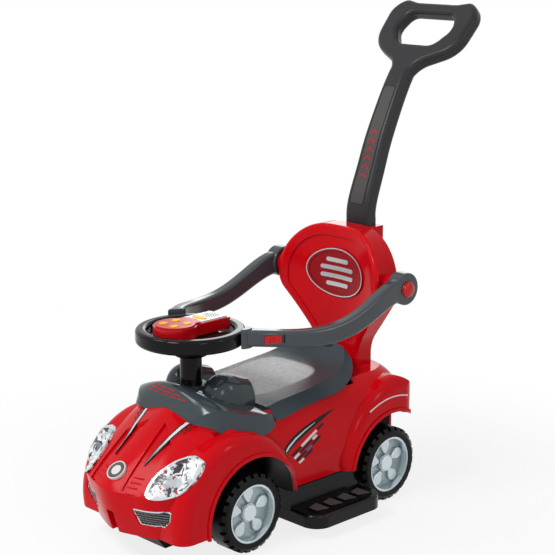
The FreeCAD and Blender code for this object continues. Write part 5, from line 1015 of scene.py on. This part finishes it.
outline, inside = panel_outline(0), panel_outline(BEAD_WIDTH)
pressed_on(
    "handle_inlay_bead", "push_handle", ring_band(outline, inside), REARWARD, bead_black,
    body="handle", lift=BEAD_LIFT,
)
pressed_on(
    "handle_inlay", "push_handle", [inside], REARWARD, panel_plastic,
    body="handle", lift=INLAY_LIFT, net=INLAY_NET,
)
CHEVRON_COUNT = 6
CHEVRON_START = 0.615
CHEVRON_PITCH = 0.0165
CHEVRON_HALF = 0.0098
CHEVRON_RISE = 0.0075
CHEVRON_THICK = 0.0042
CHEVRON_LIFT = 0.0006
chevrons = []
for i in range(CHEVRON_COUNT):
    foot = CHEVRON_START + CHEVRON_PITCH * i
    peak = foot + CHEVRON_RISE
    for y in (CHEVRON_HALF, -CHEVRON_HALF):
        arm = ((0, peak), (y, foot), (y, foot + CHEVRON_THICK), (0, peak + CHEVRON_THICK))
        chevrons.append(seen_from_front(arm, x=PANEL_AHEAD))
pressed_on(
    "handle_chevrons", "push_handle", chevrons, REARWARD, print_red,
    body="handle", lift=CHEVRON_LIFT, net=FINE_NET,
)

# Floor, light and camera: a white sweep that glows where it is seen, less so near the car's shadow.
# Five soft boxes and a faint white sky light the car. The camera stands where the photograph's stood.
FLOOR_HALF = 20.0
GLOW_FROM = 0.45
GLOW_TO = 0.95
GLOW_NEAR = 0.82
SKY_LIGHT = 0.36
floor_mesh = bpy.data.meshes.new("floor")
floor_mesh.from_pydata(
    [(x * FLOOR_HALF, y * FLOOR_HALF, 0) for x, y in ((-1, -1), (1, -1), (1, 1), (-1, 1))],
    [],
    [(0, 1, 2, 3)],
)
floor = bpy.data.objects.new("floor", floor_mesh)
scene.collection.objects.link(floor)


def bright_where_seen(tree):
    """One where the camera, a reflection or glass looks, and zero for the light that falls on things."""
    path = tree.nodes.new("ShaderNodeLightPath")
    total = path.outputs["Is Camera Ray"]
    for kind in ("Is Glossy Ray", "Is Transmission Ray"):
        add = tree.nodes.new("ShaderNodeMath")
        add.operation = "MAXIMUM"
        tree.links.new(total, add.inputs[0])
        tree.links.new(path.outputs[kind], add.inputs[1])
        total = add.outputs[0]
    return total


floor_white = bpy.data.materials.new("floor_white")
floor_white.use_nodes = True
tree = floor_white.node_tree
matt = tree.nodes["Principled BSDF"]
matt.inputs["Base Color"].default_value = (0.9, 0.9, 0.9, 1)
matt.inputs["Roughness"].default_value = 1
matt.inputs["Specular IOR Level"].default_value = 0
glow = tree.nodes.new("ShaderNodeEmission")
place = tree.nodes.new("ShaderNodeTexCoord")
away = tree.nodes.new("ShaderNodeVectorMath")
away.operation = "LENGTH"
tree.links.new(place.outputs["Object"], away.inputs[0])
fade = tree.nodes.new("ShaderNodeMapRange")
fade.inputs["From Min"].default_value = GLOW_FROM
fade.inputs["From Max"].default_value = GLOW_TO
fade.inputs["To Min"].default_value = GLOW_NEAR
fade.inputs["To Max"].default_value = 1
tree.links.new(away.outputs["Value"], fade.inputs["Value"])
part_glow = tree.nodes.new("ShaderNodeMath")
part_glow.operation = "MULTIPLY"
tree.links.new(bright_where_seen(tree), part_glow.inputs[0])
tree.links.new(fade.outputs["Result"], part_glow.inputs[1])
blend = tree.nodes.new("ShaderNodeMixShader")
tree.links.new(part_glow.outputs[0], blend.inputs[0])
tree.links.new(matt.outputs[0], blend.inputs[1])
tree.links.new(glow.outputs[0], blend.inputs[2])
tree.links.new(blend.outputs[0], tree.nodes["Material Output"].inputs["Surface"])
floor_mesh.materials.append(floor_white)

world = bpy.data.worlds.new("studio")
scene.world = world
world.use_nodes = True
tree = world.node_tree
lighting = tree.nodes["Background"]
lighting.inputs["Color"].default_value = (1, 1, 1, 1)
lighting.inputs["Strength"].default_value = SKY_LIGHT
backdrop = tree.nodes.new("ShaderNodeBackground")
backdrop.inputs["Color"].default_value = (1, 1, 1, 1)
blend = tree.nodes.new("ShaderNodeMixShader")
tree.links.new(bright_where_seen(tree), blend.inputs[0])
tree.links.new(lighting.outputs[0], blend.inputs[1])
tree.links.new(backdrop.outputs[0], blend.inputs[2])
tree.links.new(blend.outputs[0], tree.nodes["World Output"].inputs["Surface"])

AIM = Vector((0, 0, 0.4))
SOFT_BOXES = {
    "key_box": ((2.0, 0.1, 2.4), (0.8, 0.8), 40),
    "fill_box": ((0.9, 2.6, 1.3), (0.7, 0.7), 9),
    "back_box": ((-0.85, 2.2, 1.38), (0.3, 0.7), 4),
    "side_box": ((1.6, -1.05, 2.2), (0.8, 0.8), 16),
    "rear_box": ((-1.9, -1.75, 1.2), (1.0, 0.9), 7),
}
for name, (place, size, power) in SOFT_BOXES.items():
    lamp = bpy.data.lights.new(name, "AREA")
    lamp.shape = "RECTANGLE"
    lamp.energy = power
    lamp.size, lamp.size_y = size
    box = bpy.data.objects.new(name, lamp)
    scene.collection.objects.link(box)
    box.location = place
    box.rotation_euler = (AIM - Vector(place)).to_track_quat("-Z", "Y").to_euler()

EYE = Vector((2.0035, 2.03506, 1.13443))
TARGET = Vector((0.02429, -0.00002, 0.45342))
camera_data = bpy.data.cameras.new("camera")
camera_data.sensor_width = 36
camera_data.lens = 100.27
camera = bpy.data.objects.new("camera", camera_data)
scene.collection.objects.link(camera)
camera.location = EYE
camera.rotation_euler = (TARGET - EYE).to_track_quat("-Z", "Y").to_euler()
scene.camera = camera
